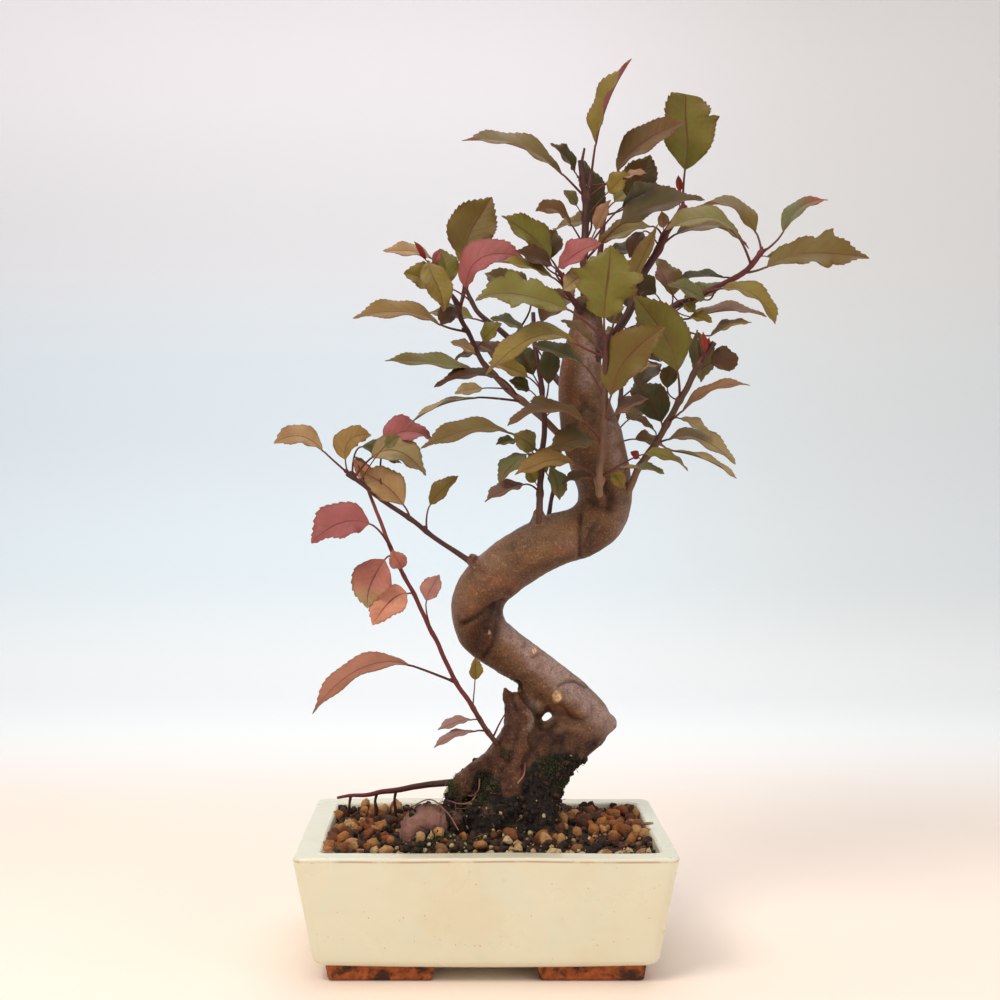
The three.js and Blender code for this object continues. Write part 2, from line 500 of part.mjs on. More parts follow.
const sprays = {
  apex_spray: {
    colour: colours.olive,
    stems: [
      [
        [53, 334, 0, 2.6], [53, 350, 0, 2.2], [53, 362, 1, 2.1], [53, 378, 2, 2], [54, 395, 3, 2],
        [52, 410, 3, 1.8], [51, 418, 3, 1.6],
      ],
      [[53.5, 392, 3, 1.6], [55.5, 402, 2.5, 1.5], [57, 411, 2, 1.4]],
      [[51, 414, 3, 0.9], [52, 419, 3, 0.8], [53, 424, 3, 0.6]],
    ],
    leaves: [
      leaf([59, 427, -3], [78, 472, -14], 26, 70, { foot: [57, 408], via: [65, 448], fold: 28 }),
      leaf([41, 411, -4], [-12, 428.5, -18], 20, 60, { foot: [51, 398], via: [17, 425.5] }),
      leaf([48, 412, 0], [35, 427, -8], 16, 55, { foot: [52, 405] }),
      leaf([57, 384, 10], [53, 418, 15], 18, 40, { foot: [53, 376] }),
      leaf([49, 394, -3], [42, 402, -9], 8, 30, { foot: [53.5, 388] }),
      leaf([46, 384, -8], [27, 391, -18], 14, 50, { foot: [53, 372], via: [37, 392] }),
      leaf([59, 381, -4], [67, 397, -10], 10, 40, { foot: [53, 371] }),
      leaf([65.5, 401, -5], [77, 411, -12], 13, 30, { foot: [54, 387] }),
      leaf([73, 408, -10], [86, 411, -15], 10, 60, { foot: [57, 404] }),
      leaf([70.5, 412, 2], [107, 438.5, -2], 21, 44, { foot: [56, 398], via: [84, 428] }),
      leaf([73, 393, 2], [99, 399, -2], 24, 38, { foot: [53, 369] }),
      leaf([72, 384, -9], [117, 397, -16], 24, 48, { foot: [53, 364], via: [95, 395] }),
    ],
  },
  upper_right_spray: {
    colour: colours.olive,
    stems: [
      [
        [57, 310, 4, 2.9], [66, 322, 9, 2.4], [75, 334, 12, 2.3], [86, 360, 15, 2.1],
        [92, 370, 15.5, 2], [97, 380, 16, 1.9], [106, 394, 16, 1.6],
      ],
    ],
    leaves: [
      leaf([106.5, 413, 15], [107, 453, 11], 37, 6, { foot: [105.5, 393], edge: broadEdge }),
      leaf([103.5, 401, 16], [103, 410, 16], 4, 0, { foot: [104, 391] }),
      leaf([102, 379, 18], [140.5, 371, 26], 20, 60, { foot: [92, 369], via: [122, 383] }),
      leaf([95, 382, 11], [94, 391, 6], 7, 10, { foot: [96, 377] }),
      leaf([88, 383, 19], [60, 374, 24], 18, 55, { foot: [95, 375] }),
      leaf([84, 380, 10], [77, 366, 5], 11, 30, { foot: [93, 371] }),
    ],
  },
  right_spray: {
    colour: colours.olive,
    stems: [
      [
        [56, 306, -3, 2.8], [64, 319, -9, 2.2], [75, 326.5, -14, 2.1], [88, 331, -17, 2],
        [100, 340, -18, 1.9], [110, 344, -18, 1.8], [120, 349, -18, 1.7], [130, 354, -18, 1.7],
        [141, 361, -18, 1.6], [148, 370, -18, 1.5],
      ],
    ],
    leaves: [
      leaf([144, 380, -15], [110, 391, -4], 19, 60, { foot: [147, 369], via: [130, 394] }),
      leaf([135, 377, -26], [96, 381, -40], 20, 54, { foot: [141, 362], via: [119, 387] }),
      leaf([150, 361.5, -21], [204.5, 366, -32], 28, 42, {
        foot: [137, 357], via: [175, 369], edge: lobedEdge,
      }),
      leaf([150, 367, -15], [159, 364, -12], 8, 50, { foot: [144, 364] }),
      leaf([158.5, 380, -16], [182.5, 397, -10], 14, 48, { foot: [147, 369], via: [167, 390] }),
      leaf([126, 350, -24], [154.5, 331, -36], 19, 50, { foot: [117, 347], via: [143, 347] }),
      leaf([108, 334, -14], [150, 335, -8], 18, 74, { foot: [90, 332], via: [130, 338] }),
      leaf([120, 325, -12], [142, 332, -16], 14, 68, { foot: [92, 334] }),
      leaf([127, 356, -10], [101, 354, 0], 14, 72, { foot: [133, 355.5] }),
      leaf([117, 344, -24], [97, 352, -31], 14, 42, { foot: [122, 350] }),
      leaf([106, 342, -22], [112, 337, -24], 7, 20, { foot: [102, 341] }),
      leaf([109, 335, -20], [121, 332, -25], 10, 45, { foot: [100, 339] }),
      leaf([91, 347, -9], [79, 356, -13], 13, 30, { foot: [96, 337] }),
      leaf([98, 350, -6], [92, 361, 0], 11, 20, { foot: [104, 342] }),
      leaf([69, 333, -20], [92, 384, -28], 16, 60, { foot: [66, 321], via: [79, 358] }),
    ],
  },
  front_spray: {
    colour: colours.green,
    stems: [
      [
        [62, 236, -12, 2.6], [61, 244, -22, 2.2], [61, 252, -27, 2.1], [62, 262, -31, 2],
        [63, 270, -34, 1.9], [64, 285, -39, 1.8], [64, 300, -43, 1.7], [64, 326, -49, 1.4],
      ],
    ],
    leaves: [
      leaf([63.5, 334, -51], [67, 373, -55], 38, 5, { foot: [64, 324], edge: lobedEdge }),
      leaf([44, 339, -51], [-5, 343.5, -58], 30, 44, {
        foot: [62.5, 322], via: [18, 347], edge: lobedEdge,
      }),
      leaf([48, 321, -47], [0.5, 304, -56], 25, 52, { foot: [63.5, 313], via: [27, 324] }),
      leaf([57, 322, -40], [40.5, 333, -32], 13, 62, { foot: [64, 314] }),
      leaf([67, 293, -45], [96, 329.5, -60], 26, 35, { foot: [64, 277], via: [77, 315] }),
      leaf([53, 309, -36], [25, 320, -32], 15, 60, { foot: [64, 290] }),
      leaf([69, 283, -40], [87, 291.5, -46], 14, 58, { foot: [64, 277] }),
      leaf([53, 279, -37], [12, 277, -44], 17, 64, { foot: [62.5, 267], via: [34, 286.5] }),
      leaf([58, 270, -35], [35, 265, -42], 20, 50, { foot: [62, 261] }),
      leaf([48, 256.5, -31], [16, 251, -39], 17, 55, { foot: [61, 249], via: [33, 258] }),
      leaf([85, 262, -38], [103, 258, -44], 12, 58, { foot: [61.5, 249] }),
      leaf([72, 254.5, -30], [95.5, 251.5, -42], 13, 80, { foot: [61, 248] }),
      leaf([68, 252, -24], [74, 244, -27], 9, 15, { foot: [61, 247] }),
      leaf([57, 251, -25], [41, 246, -28], 12, 62, { foot: [61, 246] }),
    ],
  },
  lower_right_spray: {
    colour: colours.brown,
    stems: [
      [
        [68, 232, -3, 2.8], [75, 240, -8, 2.2], [78, 246, -12, 2.1], [84, 258, -16, 2],
        [92, 270, -20, 1.9], [98, 280, -22, 1.9], [104, 291, -24, 1.8], [110, 302, -26, 1.7],
        [116, 313, -28, 1.7], [122, 321.5, -29, 1.6],
      ],
    ],
    leaves: [
      leaf([102.5, 306, -30], [79, 346.5, -36], 26, 12, { foot: [104, 290], via: [93, 329] }),
      leaf([113, 327, -20], [115, 300, -14], 16, 20, { foot: [114, 310] }),
      leaf([120, 310, -27], [135, 313, -24], 15, 20, { foot: [111, 304] }),
      leaf([117, 317, -32], [115.5, 326, -34], 6, 5, { foot: [113.5, 309] }),
      leaf([105, 285, -29], [141, 298.5, -38], 13, 72, { foot: [98, 278], via: [122, 297] }),
      leaf([94, 279, -12], [80, 301, -2], 21, 15, { foot: [91, 268] }),
      leaf([90, 275, -24], [75, 281.5, -26], 10, 62, { foot: [87, 263] }),
      leaf([104, 281, -26], [120, 271, -29], 12, 58, { foot: [97, 277] }),
      leaf([98, 270, -22], [133.5, 256.5, -30], 17, 58, { foot: [90, 267], via: [115, 270] }),
      leaf([100, 264, -30], [134, 249, -40], 12, 76, { foot: [88, 264] }),
      leaf([95, 262, -18], [108, 253, -14], 9, 66, { foot: [86, 261] }),
      leaf([97, 297, -16], [99, 310, -10], 10, 15, { foot: [104, 290] }),
      leaf([82, 260, -22], [77.5, 263, -24], 5, 20, { foot: [82, 254] }),
    ],
  },
  left_upright_spray: {
    colour: colours.green,
    stems: [
      [
        [29, 222, -12, 2.9], [29, 229, -17, 2.5], [29.5, 245, -19, 2.1], [30.5, 262, -19, 2],
        [31.5, 280, -18, 1.9], [30.5, 295, -16, 1.8], [28.5, 308, -14, 1.8], [27, 317, -12, 1.7],
        [26, 337, -9, 1.5],
      ],
    ],
    leaves: [
      leaf([13, 273.5, -25], [-34, 265, -36], 18, 60, { foot: [30.5, 261], via: [-8, 274.5] }),
      leaf([17, 269, -22], [6, 267, -26], 8, 50, { foot: [30.2, 257] }),
      leaf([27, 265, -23], [15, 272.5, -29], 13, 20, { foot: [30, 256] }),
      leaf([22, 262, -22], [7.5, 247, -30], 15, 52, { foot: [30, 252] }),
      leaf([21, 246, -23], [0, 236.5, -32], 14, 58, { foot: [29.5, 241] }),
      leaf([27, 247, -22], [22, 255, -25], 8, 15, { foot: [29.5, 242] }),
      leaf([35, 255, -21], [40, 237.5, -25], 13, 40, { foot: [30, 249] }),
      leaf([35, 289, -20], [24, 290, -24], 8, 50, { foot: [31.5, 282] }),
      leaf([23, 303, -18], [2, 310.5, -25], 14, 46, { foot: [30.5, 295] }),
      leaf([26, 304, -10], [17, 320, -5], 13, 20, { foot: [30, 297] }),
      leaf([24, 296, -18], [13, 301, -23], 10, 40, { foot: [31, 288] }),
      leaf([34, 299, -20], [37, 322, -17], 12, 20, { foot: [31.5, 286] }),
    ],
  },
  small_spur: {
    colour: colours.brown,
    stems: [
      [[33, 222, 0, 1.9], [34, 229, 1, 1.5], [35, 236, 2, 1.3], [37, 245, 4, 1.1]],
    ],
    leaves: [
      leaf([33, 252, 2], [23, 262, 4], 12, 45, { foot: [36, 241] }),
      leaf([37, 254, 6], [38, 270, 10], 11, 30, { foot: [37, 244] }),
    ],
  },
  left_spray: {
    colour: colours.olive,
    stems: [
      [
        [50, 264, 3, 3], [41, 271, 7, 2.6], [30, 282, 10, 2.5], [20, 290, 12, 2.4],
        [10, 299, 13, 2.2], [3, 306, 13, 2], [-3, 314, 13, 1.9], [-7, 322, 13, 1.8],
        [-12, 333, 13, 1.8], [-15, 342, 13, 1.7], [-20, 349, 11, 1.4], [-25, 356, 9, 1.2],
      ],
      [[-13, 336, 13, 1.6], [-13, 341, 14, 1.4], [-11, 348, 16, 1.2]],
    ],
    leaves: [
      leaf([-10, 350, 7], [20.5, 366.5, 0], 23, 42, { foot: [-13.5, 340], via: [-2, 366] }),
      leaf([-10, 366, 17], [4, 398.5, 22], 28, 10, { foot: [-11.5, 346], via: [-6, 383] }),
      leaf([-24, 352, 3], [-43, 358, -4], 18, 35, { foot: [-14, 342] }),
      leaf([-30, 364, -4], [-21.5, 337.5, -15], 17, 20, { foot: [-24.5, 355] }),
      leaf([-19, 352, 15], [-24, 371, 20], 16, 15, { foot: [-15, 343] }),
      leaf([-28, 366, 10], [-54, 370, 5], 13, 52, { foot: [-25, 355] }),
      leaf([-31, 365, 5], [-37.5, 375, 2], 3.5, 20, { foot: [-24.5, 355] }),
      leaf([-27, 363, 2], [-23, 371, 0], 5, 10, { foot: [-24.5, 355] }),
      leaf([-24, 331, 8], [-70, 334, -4], 20, 58, { foot: [-10, 326], via: [-45, 338] }),
      leaf([-16, 340, 2], [-23, 330, -3], 12, 20, { foot: [-12.5, 334] }),
      leaf([-1, 322, 9], [9, 331.5, 5], 13, 40, { foot: [-5, 318] }),
      leaf([-5, 315, 8], [-18, 321.5, 3], 11, 55, { foot: [0, 309] }),
      leaf([-5, 306, 8], [-53, 311.5, -4], 17, 61, { foot: [5, 304], via: [-28, 311] }),
      leaf([7, 303, 4], [-27, 297.5, -6], 16, 62, { foot: [18, 291.5], via: [-8, 303.5] }),
      leaf([-1, 297, -7], [-16, 294, -12], 9, 40, { foot: [12, 297] }),
      leaf([-5, 292, 1], [-40, 278, -10], 11, 76, { foot: [20, 290], via: [-24, 287.5] }),
    ],
  },
  low_left_spray: {
    colour: colours.brown,
    stems: [
      [
        [-4, 199, -4, 3.2], [-10, 205, -8, 2.3], [-20, 213, -12, 1.9], [-31, 221, -15, 1.8],
        [-42, 229, -18, 1.8], [-55, 238, -21, 1.7], [-65, 246, -23, 1.6], [-73, 252, -25, 1.6],
      ],
    ],
    leaves: [
      leaf([-86, 264, -30], [-112, 267.5, -36], 15, 48, { foot: [-72.5, 251.5], via: [-99, 271.5] }),
      leaf([-74, 259, -27], [-60, 272, -21], 16, 40, { foot: [-72, 251], via: [-71, 270] }),
      leaf([-60, 260, -20], [-31, 250.5, -12], 20, 46, { foot: [-69, 249], via: [-46, 263.5] }),
      leaf([-65, 266, -13], [-44, 257, -4], 14, 50, { foot: [-70, 250] }),
      leaf([-53, 268, -9], [-28, 270.5, 1], 21, 45, { foot: [-55, 238], via: [-41, 274] }),
      leaf([-53, 266, -25], [-45, 271.5, -29], 7, 20, { foot: [-66, 247] }),
      leaf([-43, 235, -18], [-66, 253, -17], 20, 30, { foot: [-39, 227], via: [-55, 247] }),
      leaf([-61, 247, -17], [-69, 261, -14], 8, 40, { foot: [-58, 241] }),
      leaf([-29, 235, -17], [-14, 250.5, -21], 12, 38, { foot: [-31, 221] }),
    ],
  },
  red_sucker: {
    colour: colours.red,
    stems: [
      [
        [8, 106, -10, 1.9], [2, 114, -15, 1.5], [-5, 125, -19, 1.3], [-10, 133, -21, 1.3],
        [-16, 142, -22, 1.2], [-22, 155, -24, 1.2], [-30, 172, -26, 1.2], [-38, 189, -28, 1.1],
        [-44, 200, -30, 1.1], [-49, 210, -32, 1.1], [-55, 225, -36, 1], [-60, 239, -39, 1],
        [-66, 252, -42, 0.9], [-71, 261, -44, 0.8],
      ],
      [[4, 111, -13, 0.9], [7, 117, -15, 0.8], [11, 124, -17, 0.6]],
    ],
    leaves: [
      leaf([-61, 225, -40], [-92, 214.5, -50], 25, 38, { foot: [-50, 212], via: [-77, 225] }),
      leaf([-53, 206, -33], [-62, 180, -40], 22, 8, { foot: [-47, 206], via: [-60, 194] }),
      leaf([-44, 201, -33], [-49, 211, -37], 10, 5, { foot: [-42, 196] }),
      leaf([-41, 188, -30], [-59.5, 171, -44], 20, 25, { foot: [-38, 188], via: [-50, 184] }),
      leaf([-31, 184, -28], [-24, 198, -30], 12, 30, { foot: [-28, 167] }),
      leaf([-40, 150, -28], [-91.5, 124, -44], 26, 48, { foot: [-16, 141], via: [-66, 148.5] }),
      leaf([-5, 142, -25], [-5, 154, -27], 8, 20, { foot: [-6, 127] }),
      leaf([-7, 121, -23], [-25, 115.5, -28], 12, 60, { foot: [-2.5, 121] }),
      leaf([-5, 115, -25], [-27, 106, -36], 11, 68, { foot: [2, 114] }),
    ],
  },
  shoulder_spray: {
    colour: colours.dark,
    stems: [
      [[54, 332, -3, 2], [48, 342, -8, 1.5], [43, 350, -11, 1.3], [41, 358, -13, 1.1]],
    ],
    leaves: [
      leaf([35, 366, -12], [9, 388.5, -19], 22, 40, { foot: [41.5, 356], via: [22, 380] }),
      leaf([32, 365, -2], [38, 381, 3], 15, 15, { foot: [41.5, 356] }),
      leaf([36, 362, -18], [17, 370, -25], 14, 42, { foot: [43, 350] }),
      leaf([36, 356, -18], [7, 364, -28], 15, 58, { foot: [44, 348] }),
      leaf([39, 361, -22], [62, 374, -30], 19, 38, { foot: [42, 352] }),
      leaf([42, 349, -20], [55, 359, -26], 13, 35, { foot: [47, 343] }),
    ],
  },
  back_top_spray: {
    colour: colours.dark,
    stems: [
      [
        [54, 326, 4, 2.3], [57, 340, 16, 2], [60, 358, 28, 1.8], [62, 376, 36, 1.6],
        [64, 392, 42, 1.3],
      ],
    ],
    leaves: [
      leaf([78, 396, 40], [88, 421, 36], 22, 15, { foot: [64, 389] }),
      leaf([58, 386, 44], [36, 380, 56], 18, 60, { foot: [62, 374] }),
      leaf([69, 396, 50], [86, 404, 64], 18, 40, { foot: [64, 390] }),
      leaf([66, 370, 36], [88, 366, 46], 17, 60, { foot: [60, 358] }),
      leaf([60, 395, 50], [50, 410, 62], 17, 35, { foot: [63.5, 388] }),
    ],
  },
  back_left_spray: {
    colour: colours.green,
    stems: [
      [
        [48, 292, 6, 2.4], [38, 302, 22, 2], [24, 314, 34, 1.8], [10, 326, 44, 1.7],
        [-4, 338, 52, 1.4], [-10, 350, 56, 1.1],
      ],
    ],
    leaves: [
      leaf([24, 343, 38], [0, 358, 46], 22, 30, { foot: [14, 323] }),
      leaf([22, 326, 28], [3, 334, 22], 15, 65, { foot: [36, 304] }),
      leaf([12, 312, 32], [-4, 320, 30], 14, 40, { foot: [27, 311] }),
      leaf([-8, 358, 62], [-3, 388, 70], 20, 25, { foot: [-10, 349] }),
      leaf([-18, 350, 58], [-38, 353, 68], 16, 62, { foot: [-7, 343] }),
      leaf([-6, 334, 60], [-32, 336, 74], 17, 60, { foot: [4, 331] }),
      leaf([6, 318, 50], [-16, 312, 62], 17, 62, { foot: [16, 321] }),
      leaf([30, 332, 44], [48, 350, 54], 18, 40, { foot: [20, 317] }),
    ],
  },
  back_right_spray: {
    colour: colours.dark,
    stems: [
      [
        [56, 296, 6, 2.4], [66, 306, 22, 2], [76, 316, 34, 1.8], [86, 326, 44, 1.6],
        [98, 336, 54, 1.3],
      ],
    ],
    leaves: [
      leaf([92, 309, 20], [75, 303.5, 14], 12, 66, { foot: [74, 314] }),
      leaf([94, 312, 28], [82, 323, 24], 14, 25, { foot: [79, 318] }),
      leaf([106, 341, 56], [128, 352, 62], 17, 50, { foot: [98, 335] }),
      leaf([100, 346, 58], [92, 366, 66], 18, 30, { foot: [97, 334] }),
      leaf([84, 336, 48], [68, 354, 58], 19, 35, { foot: [84, 324] }),
      leaf([96, 322, 50], [116, 316, 62], 17, 60, { foot: [86, 325] }),
      leaf([74, 330, 40], [56, 338, 50], 16, 55, { foot: [74, 314] }),
    ],
  },
  back_low_spray: {
    colour: colours.green,
    stems: [
      [
        [63, 258, 10, 2.4], [67, 268, 26, 1.9], [70, 280, 40, 1.7], [72, 292, 50, 1.4],
        [73, 302, 56, 1.1],
      ],
    ],
    leaves: [
      leaf([62, 284, 46], [46, 290, 62], 18, 60, { foot: [69, 275] }),
      leaf([72, 310, 60], [66, 330, 70], 19, 30, { foot: [73, 301] }),
      leaf([76, 280, 40], [92, 288, 52], 17, 55, { foot: [68, 271] }),
      leaf([80, 298, 58], [94, 310, 70], 17, 45, { foot: [72, 291] }),
      leaf([60, 266, 32], [50, 258, 50], 16, 62, { foot: [66, 264] }),
      leaf([80, 270, 34], [98, 264, 46], 16, 62, { foot: [66.5, 266] }),
    ],
  },
};

// The whole plant, with the origin on the ground under the middle of its reach

const bonsai = new THREE.Group();
const trunk = makeTrunk(0);
const trunkRoom = makeTrunk(bark.room);
const ground = join([trunkRoom, makeShoot(bark.room), ...drainPlaces.map(drainPocket)]);

bonsai.add(toMesh('pot', makePot(), colours.pot, 0.35));
drainPlaces.forEach((x, i) => {
  bonsai.add(toMesh(['drain_mesh_left', 'drain_mesh_right'][i], makeDrainMesh(x), colours.mesh, 0.6));
});
bonsai.add(toMesh('soil', largest(makeSoil().subtract(ground)), colours.soil, 0.95));
bonsai.add(toMesh('trunk', trunk, colours.trunk, 0.8));
bonsai.add(toMesh('base_shoot', largest(makeShoot(0).subtract(trunkRoom)), colours.shoot));
Object.entries(sprays).forEach(([name, spray]) => {
  bonsai.add(toMesh(name, largest(makeSpray(spray).subtract(trunkRoom)), spray.colour));
});

const reach = new THREE.Box3().setFromObject(bonsai);
const middle = reach.getCenter(new THREE.Vector3());
bonsai.position.set(-middle.x, -middle.y, -reach.min.z);

export default bonsai;
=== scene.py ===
import math
import bpy
import numpy as np
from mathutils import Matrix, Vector, noise


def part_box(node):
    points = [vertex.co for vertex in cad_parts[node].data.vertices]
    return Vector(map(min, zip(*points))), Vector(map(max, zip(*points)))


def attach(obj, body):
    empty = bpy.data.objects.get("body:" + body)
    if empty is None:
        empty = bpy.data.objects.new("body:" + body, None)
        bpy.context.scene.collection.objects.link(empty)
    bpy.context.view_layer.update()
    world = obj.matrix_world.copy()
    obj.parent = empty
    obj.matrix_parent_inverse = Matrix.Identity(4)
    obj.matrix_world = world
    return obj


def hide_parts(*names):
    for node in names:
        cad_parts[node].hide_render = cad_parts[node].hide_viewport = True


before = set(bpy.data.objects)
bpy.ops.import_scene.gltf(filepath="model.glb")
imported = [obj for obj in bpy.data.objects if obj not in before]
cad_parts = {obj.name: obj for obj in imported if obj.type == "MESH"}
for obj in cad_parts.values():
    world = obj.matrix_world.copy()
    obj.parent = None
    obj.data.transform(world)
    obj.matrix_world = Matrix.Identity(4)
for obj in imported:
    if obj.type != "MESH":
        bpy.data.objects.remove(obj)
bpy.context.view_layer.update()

# Sizes below are in millimetres round the pot's middle, and are turned into the frame's metres.
# Most places are read along sight lines from one level eye point, as (x, z, y): x and z where the
# line meets the pot's middle plane, and y the true depth, negative in front of that plane.
eye = {"x": -10.9, "z": 254, "distance": 839, "lens": 56.88, "shiftX": 0.036, "shiftY": -0.031}
potLow, potHigh = [Vector(corner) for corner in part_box("pot")]
potMiddle = np.array([(potLow.x + potHigh.x) / 2, (potLow.y + potHigh.y) / 2, 0])


def toFrame(points):
    return np.asarray(points, float) * 0.001 + potMiddle


def seen(places):
    places = np.atleast_2d(np.asarray(places, float))[:, :3]
    reach = (eye["distance"] + places[:, 2]) / eye["distance"]
    return np.column_stack([
        eye["x"] + (places[:, 0] - eye["x"]) * reach,
        places[:, 2],
        eye["z"] + (places[:, 1] - eye["z"]) * reach,
    ])


def lookedAt(points):
    reach = (eye["distance"] + points[:, 1]) / eye["distance"]
    return np.column_stack([
        eye["x"] + (points[:, 0] - eye["x"]) / reach,
        eye["z"] + (points[:, 2] - eye["z"]) / reach,
    ])


# A smooth path through stations, read at places from 0 to 1 along it
def smoothPath(points, places):
    points = np.asarray(points, float)
    last = len(points) - 1
    out = []
    for place in places:
        first = min(int(place * last), last - 1)
        weight = place * last - first
        p1, p2 = points[first], points[first + 1]
        p0 = points[first - 1] if first > 0 else 2 * points[0] - points[1]
        p3 = points[first + 2] if first + 2 <= last else 2 * points[last] - points[last - 1]
        d0, d1, d2 = [max(np.linalg.norm(b - a), 1e-6) ** 0.5
                      for a, b in ((p0, p1), (p1, p2), (p2, p3))]
        t1 = ((p1 - p0) / d0 - (p2 - p0) / (d0 + d1) + (p2 - p1) / d1) * d1
        t2 = ((p2 - p1) / d1 - (p3 - p1) / (d1 + d2) + (p3 - p2) / d2) * d1
        a = 2 * p1 - 2 * p2 + t1 + t2
        b = -3 * p1 + 3 * p2 - 2 * t1 - t2
        out.append(((a * weight + b) * weight + t1) * weight + p1)
    return np.array(out)


def unit(vectors):
    return vectors / np.maximum(np.linalg.norm(vectors, axis=-1, keepdims=True), 1e-9)


# From a picture's 0 to 255 to the linear values that shaders take
def linear(colour):
    return tuple(c / 255 / 12.92 if c <= 10 else ((c / 255 + 0.055) / 1.055) ** 2.4 for c in colour)


def plainMesh(name, points, faces, edges=()):
    mesh = bpy.data.meshes.new(name)
    mesh.from_pydata(toFrame(points).tolist(), edges, faces)
    mesh.update()
    return mesh


def addObject(name, mesh):
    obj = bpy.data.objects.new(name, mesh)
    bpy.context.scene.collection.objects.link(obj)
    return obj


def storeValues(mesh, name, values, kind="FLOAT"):
    layer = mesh.attributes.new(name, kind, "POINT")
    key = "vector" if kind == "FLOAT_VECTOR" else "value"
    layer.data.foreach_set(key, np.asarray(values, int if kind == "INT" else float).ravel())


# The evaluated shape becomes the object's plain mesh, and its modifiers go
def settle(obj):
    graph = bpy.context.evaluated_depsgraph_get()
    mesh = bpy.data.meshes.new_from_object(
        obj.evaluated_get(graph), preserve_all_data_layers=True, depsgraph=graph)
    mesh.name = obj.name
    obj.modifiers.clear()
    obj.data = mesh
    return obj


def setPiece(obj, nodes):
    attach(obj, "root")
    if nodes:
        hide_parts(*nodes)


print("frame loaded")

# Node trees: the helpers add to the tree that is being built

work = {"tree": None}


def feed(value, socket):
    if isinstance(value, bpy.types.NodeSocket):
        work["tree"].links.new(value, socket)
    elif value is not None:
        socket.default_value = value


def addNode(kind, inputs=None, **settings):
    node = work["tree"].nodes.new(kind)
    for key, value in settings.items():
        setattr(node, key, value)
    for key, value in (inputs or {}).items():
        feed(value, node.inputs[key])
    return node


def calc(operation, *values, clamp=False):
    node = addNode("ShaderNodeMath", dict(enumerate(values)), operation=operation, use_clamp=clamp)
    return node.outputs[0]


def times(first, second, clamp=False):
    return calc("MULTIPLY", first, second, clamp=clamp)


def plus(first, second):
    return calc("ADD", first, second)


def minus(first, second):
    return calc("SUBTRACT", first, second)


def timesPlus(value, factor, shift):
    return calc("MULTIPLY_ADD", value, factor, shift)


def larger(first, second):
    return calc("MAXIMUM", first, second)


def calcVector(operation, *values, output=0):
    return addNode("ShaderNodeVectorMath", dict(enumerate(values)), operation=operation).outputs[output]


def scaled(vector, factor):
    return addNode("ShaderNodeVectorMath", {0: vector, 3: factor}, operation="SCALE").outputs[0]


def added(first, second):
    return calcVector("ADD", first, second)


def between(value, low, high, toLow=0.0, toHigh=1.0):
    node = addNode("ShaderNodeMapRange", {0: value, 1: low, 2: high, 3: toLow, 4: toHigh},
                   interpolation_type="SMOOTHSTEP")
    return node.outputs[0]


def blend(factor, first, second):
    inputs = {0: factor, 6: first, 7: second}
    for index in (6, 7):
        if isinstance(inputs[index], tuple):
            inputs[index] = (*inputs[index], 1)
    return addNode("ShaderNodeMix", inputs, data_type="RGBA", clamp_factor=True).outputs[2]


# One colour laid over another where a mask is, with a share of the mask's strength
def over(colour, tone, mask, share=None):
    return blend(mask if share is None else times(mask, share), colour, linear(tone))


def clouds(place, scale, detail=2.0, distortion=0.0, roughness=0.5):
    return addNode("ShaderNodeTexNoise", {
        "Vector": place, "Scale": scale, "Detail": detail, "Roughness": roughness,
        "Distortion": distortion}).outputs["Fac"]


# Shader node groups: each puts out a mask that its materials place with their own values

def makeGroup(name, inputs):
    group = work["tree"] = bpy.data.node_groups.new(name, "ShaderNodeTree")
    group.interface.new_socket("Vector", in_out="INPUT", socket_type="NodeSocketVector")
    for label, value in inputs.items():
        socket = group.interface.new_socket(label, in_out="INPUT", socket_type="NodeSocketFloat")
        socket.default_value = value
    group.interface.new_socket("Mask", in_out="OUTPUT", socket_type="NodeSocketFloat")
    return group, addNode("NodeGroupInput").outputs, addNode("NodeGroupOutput").inputs["Mask"]


def makePatches():
    group, given, mask = makeGroup("patches", {
        "Scale": 50.0, "Low": 0.4, "High": 0.6, "Detail": 4.0, "Warp": 0.0})
    cloud = clouds(given["Vector"], given["Scale"], given["Detail"], given["Warp"], 0.6)
    feed(between(cloud, given["Low"], given["High"]), mask)
    return group


def makeSpecks():
    group, given, mask = makeGroup("specks", {"Scale": 300.0, "Size": 0.15, "Share": 0.2})
    cells = addNode("ShaderNodeTexVoronoi", {"Vector": given["Vector"], "Scale": given["Scale"]})
    pick = addNode("ShaderNodeSeparateColor", {0: cells.outputs["Color"]})
    chosen = calc("LESS_THAN", pick.outputs[0], given["Share"])
    size = times(given["Size"], pick.outputs[1])
    dot = between(cells.outputs["Distance"], size, times(size, 0.6))
    feed(times(dot, chosen), mask)
    return group


patchesGroup, specksGroup = makePatches(), makeSpecks()


def patches(place, scale, low, high, detail=4.0, warp=0.0):
    values = {"Vector": place, "Scale": scale, "Low": low, "High": high, "Detail": detail, "Warp": warp}
    return addNode("ShaderNodeGroup", values, node_tree=patchesGroup).outputs[0]


def specks(place, scale, size, share):
    values = {"Vector": place, "Scale": scale, "Size": size, "Share": share}
    return addNode("ShaderNodeGroup", values, node_tree=specksGroup).outputs[0]


def startMaterial(name, **settings):
    material = bpy.data.materials.new(name)
    material.use_nodes = True
    work["tree"] = material.node_tree
    shader = material.node_tree.nodes["Principled BSDF"].inputs
    for label, value in settings.items():
        shader[label.replace("_", " ")].default_value = value
    return material, shader, addNode("ShaderNodeTexCoord").outputs["Object"]


def readValue(name, output="Fac"):
    return addNode("ShaderNodeAttribute", attribute_name=name).outputs[output]


def bumpOf(shader, height, distance, strength=1.0, under=None):
    node = addNode("ShaderNodeBump", {
        "Height": height, "Distance": distance, "Strength": strength, "Normal": under})
    feed(node.outputs[0], shader["Normal"])
    return node.outputs[0]


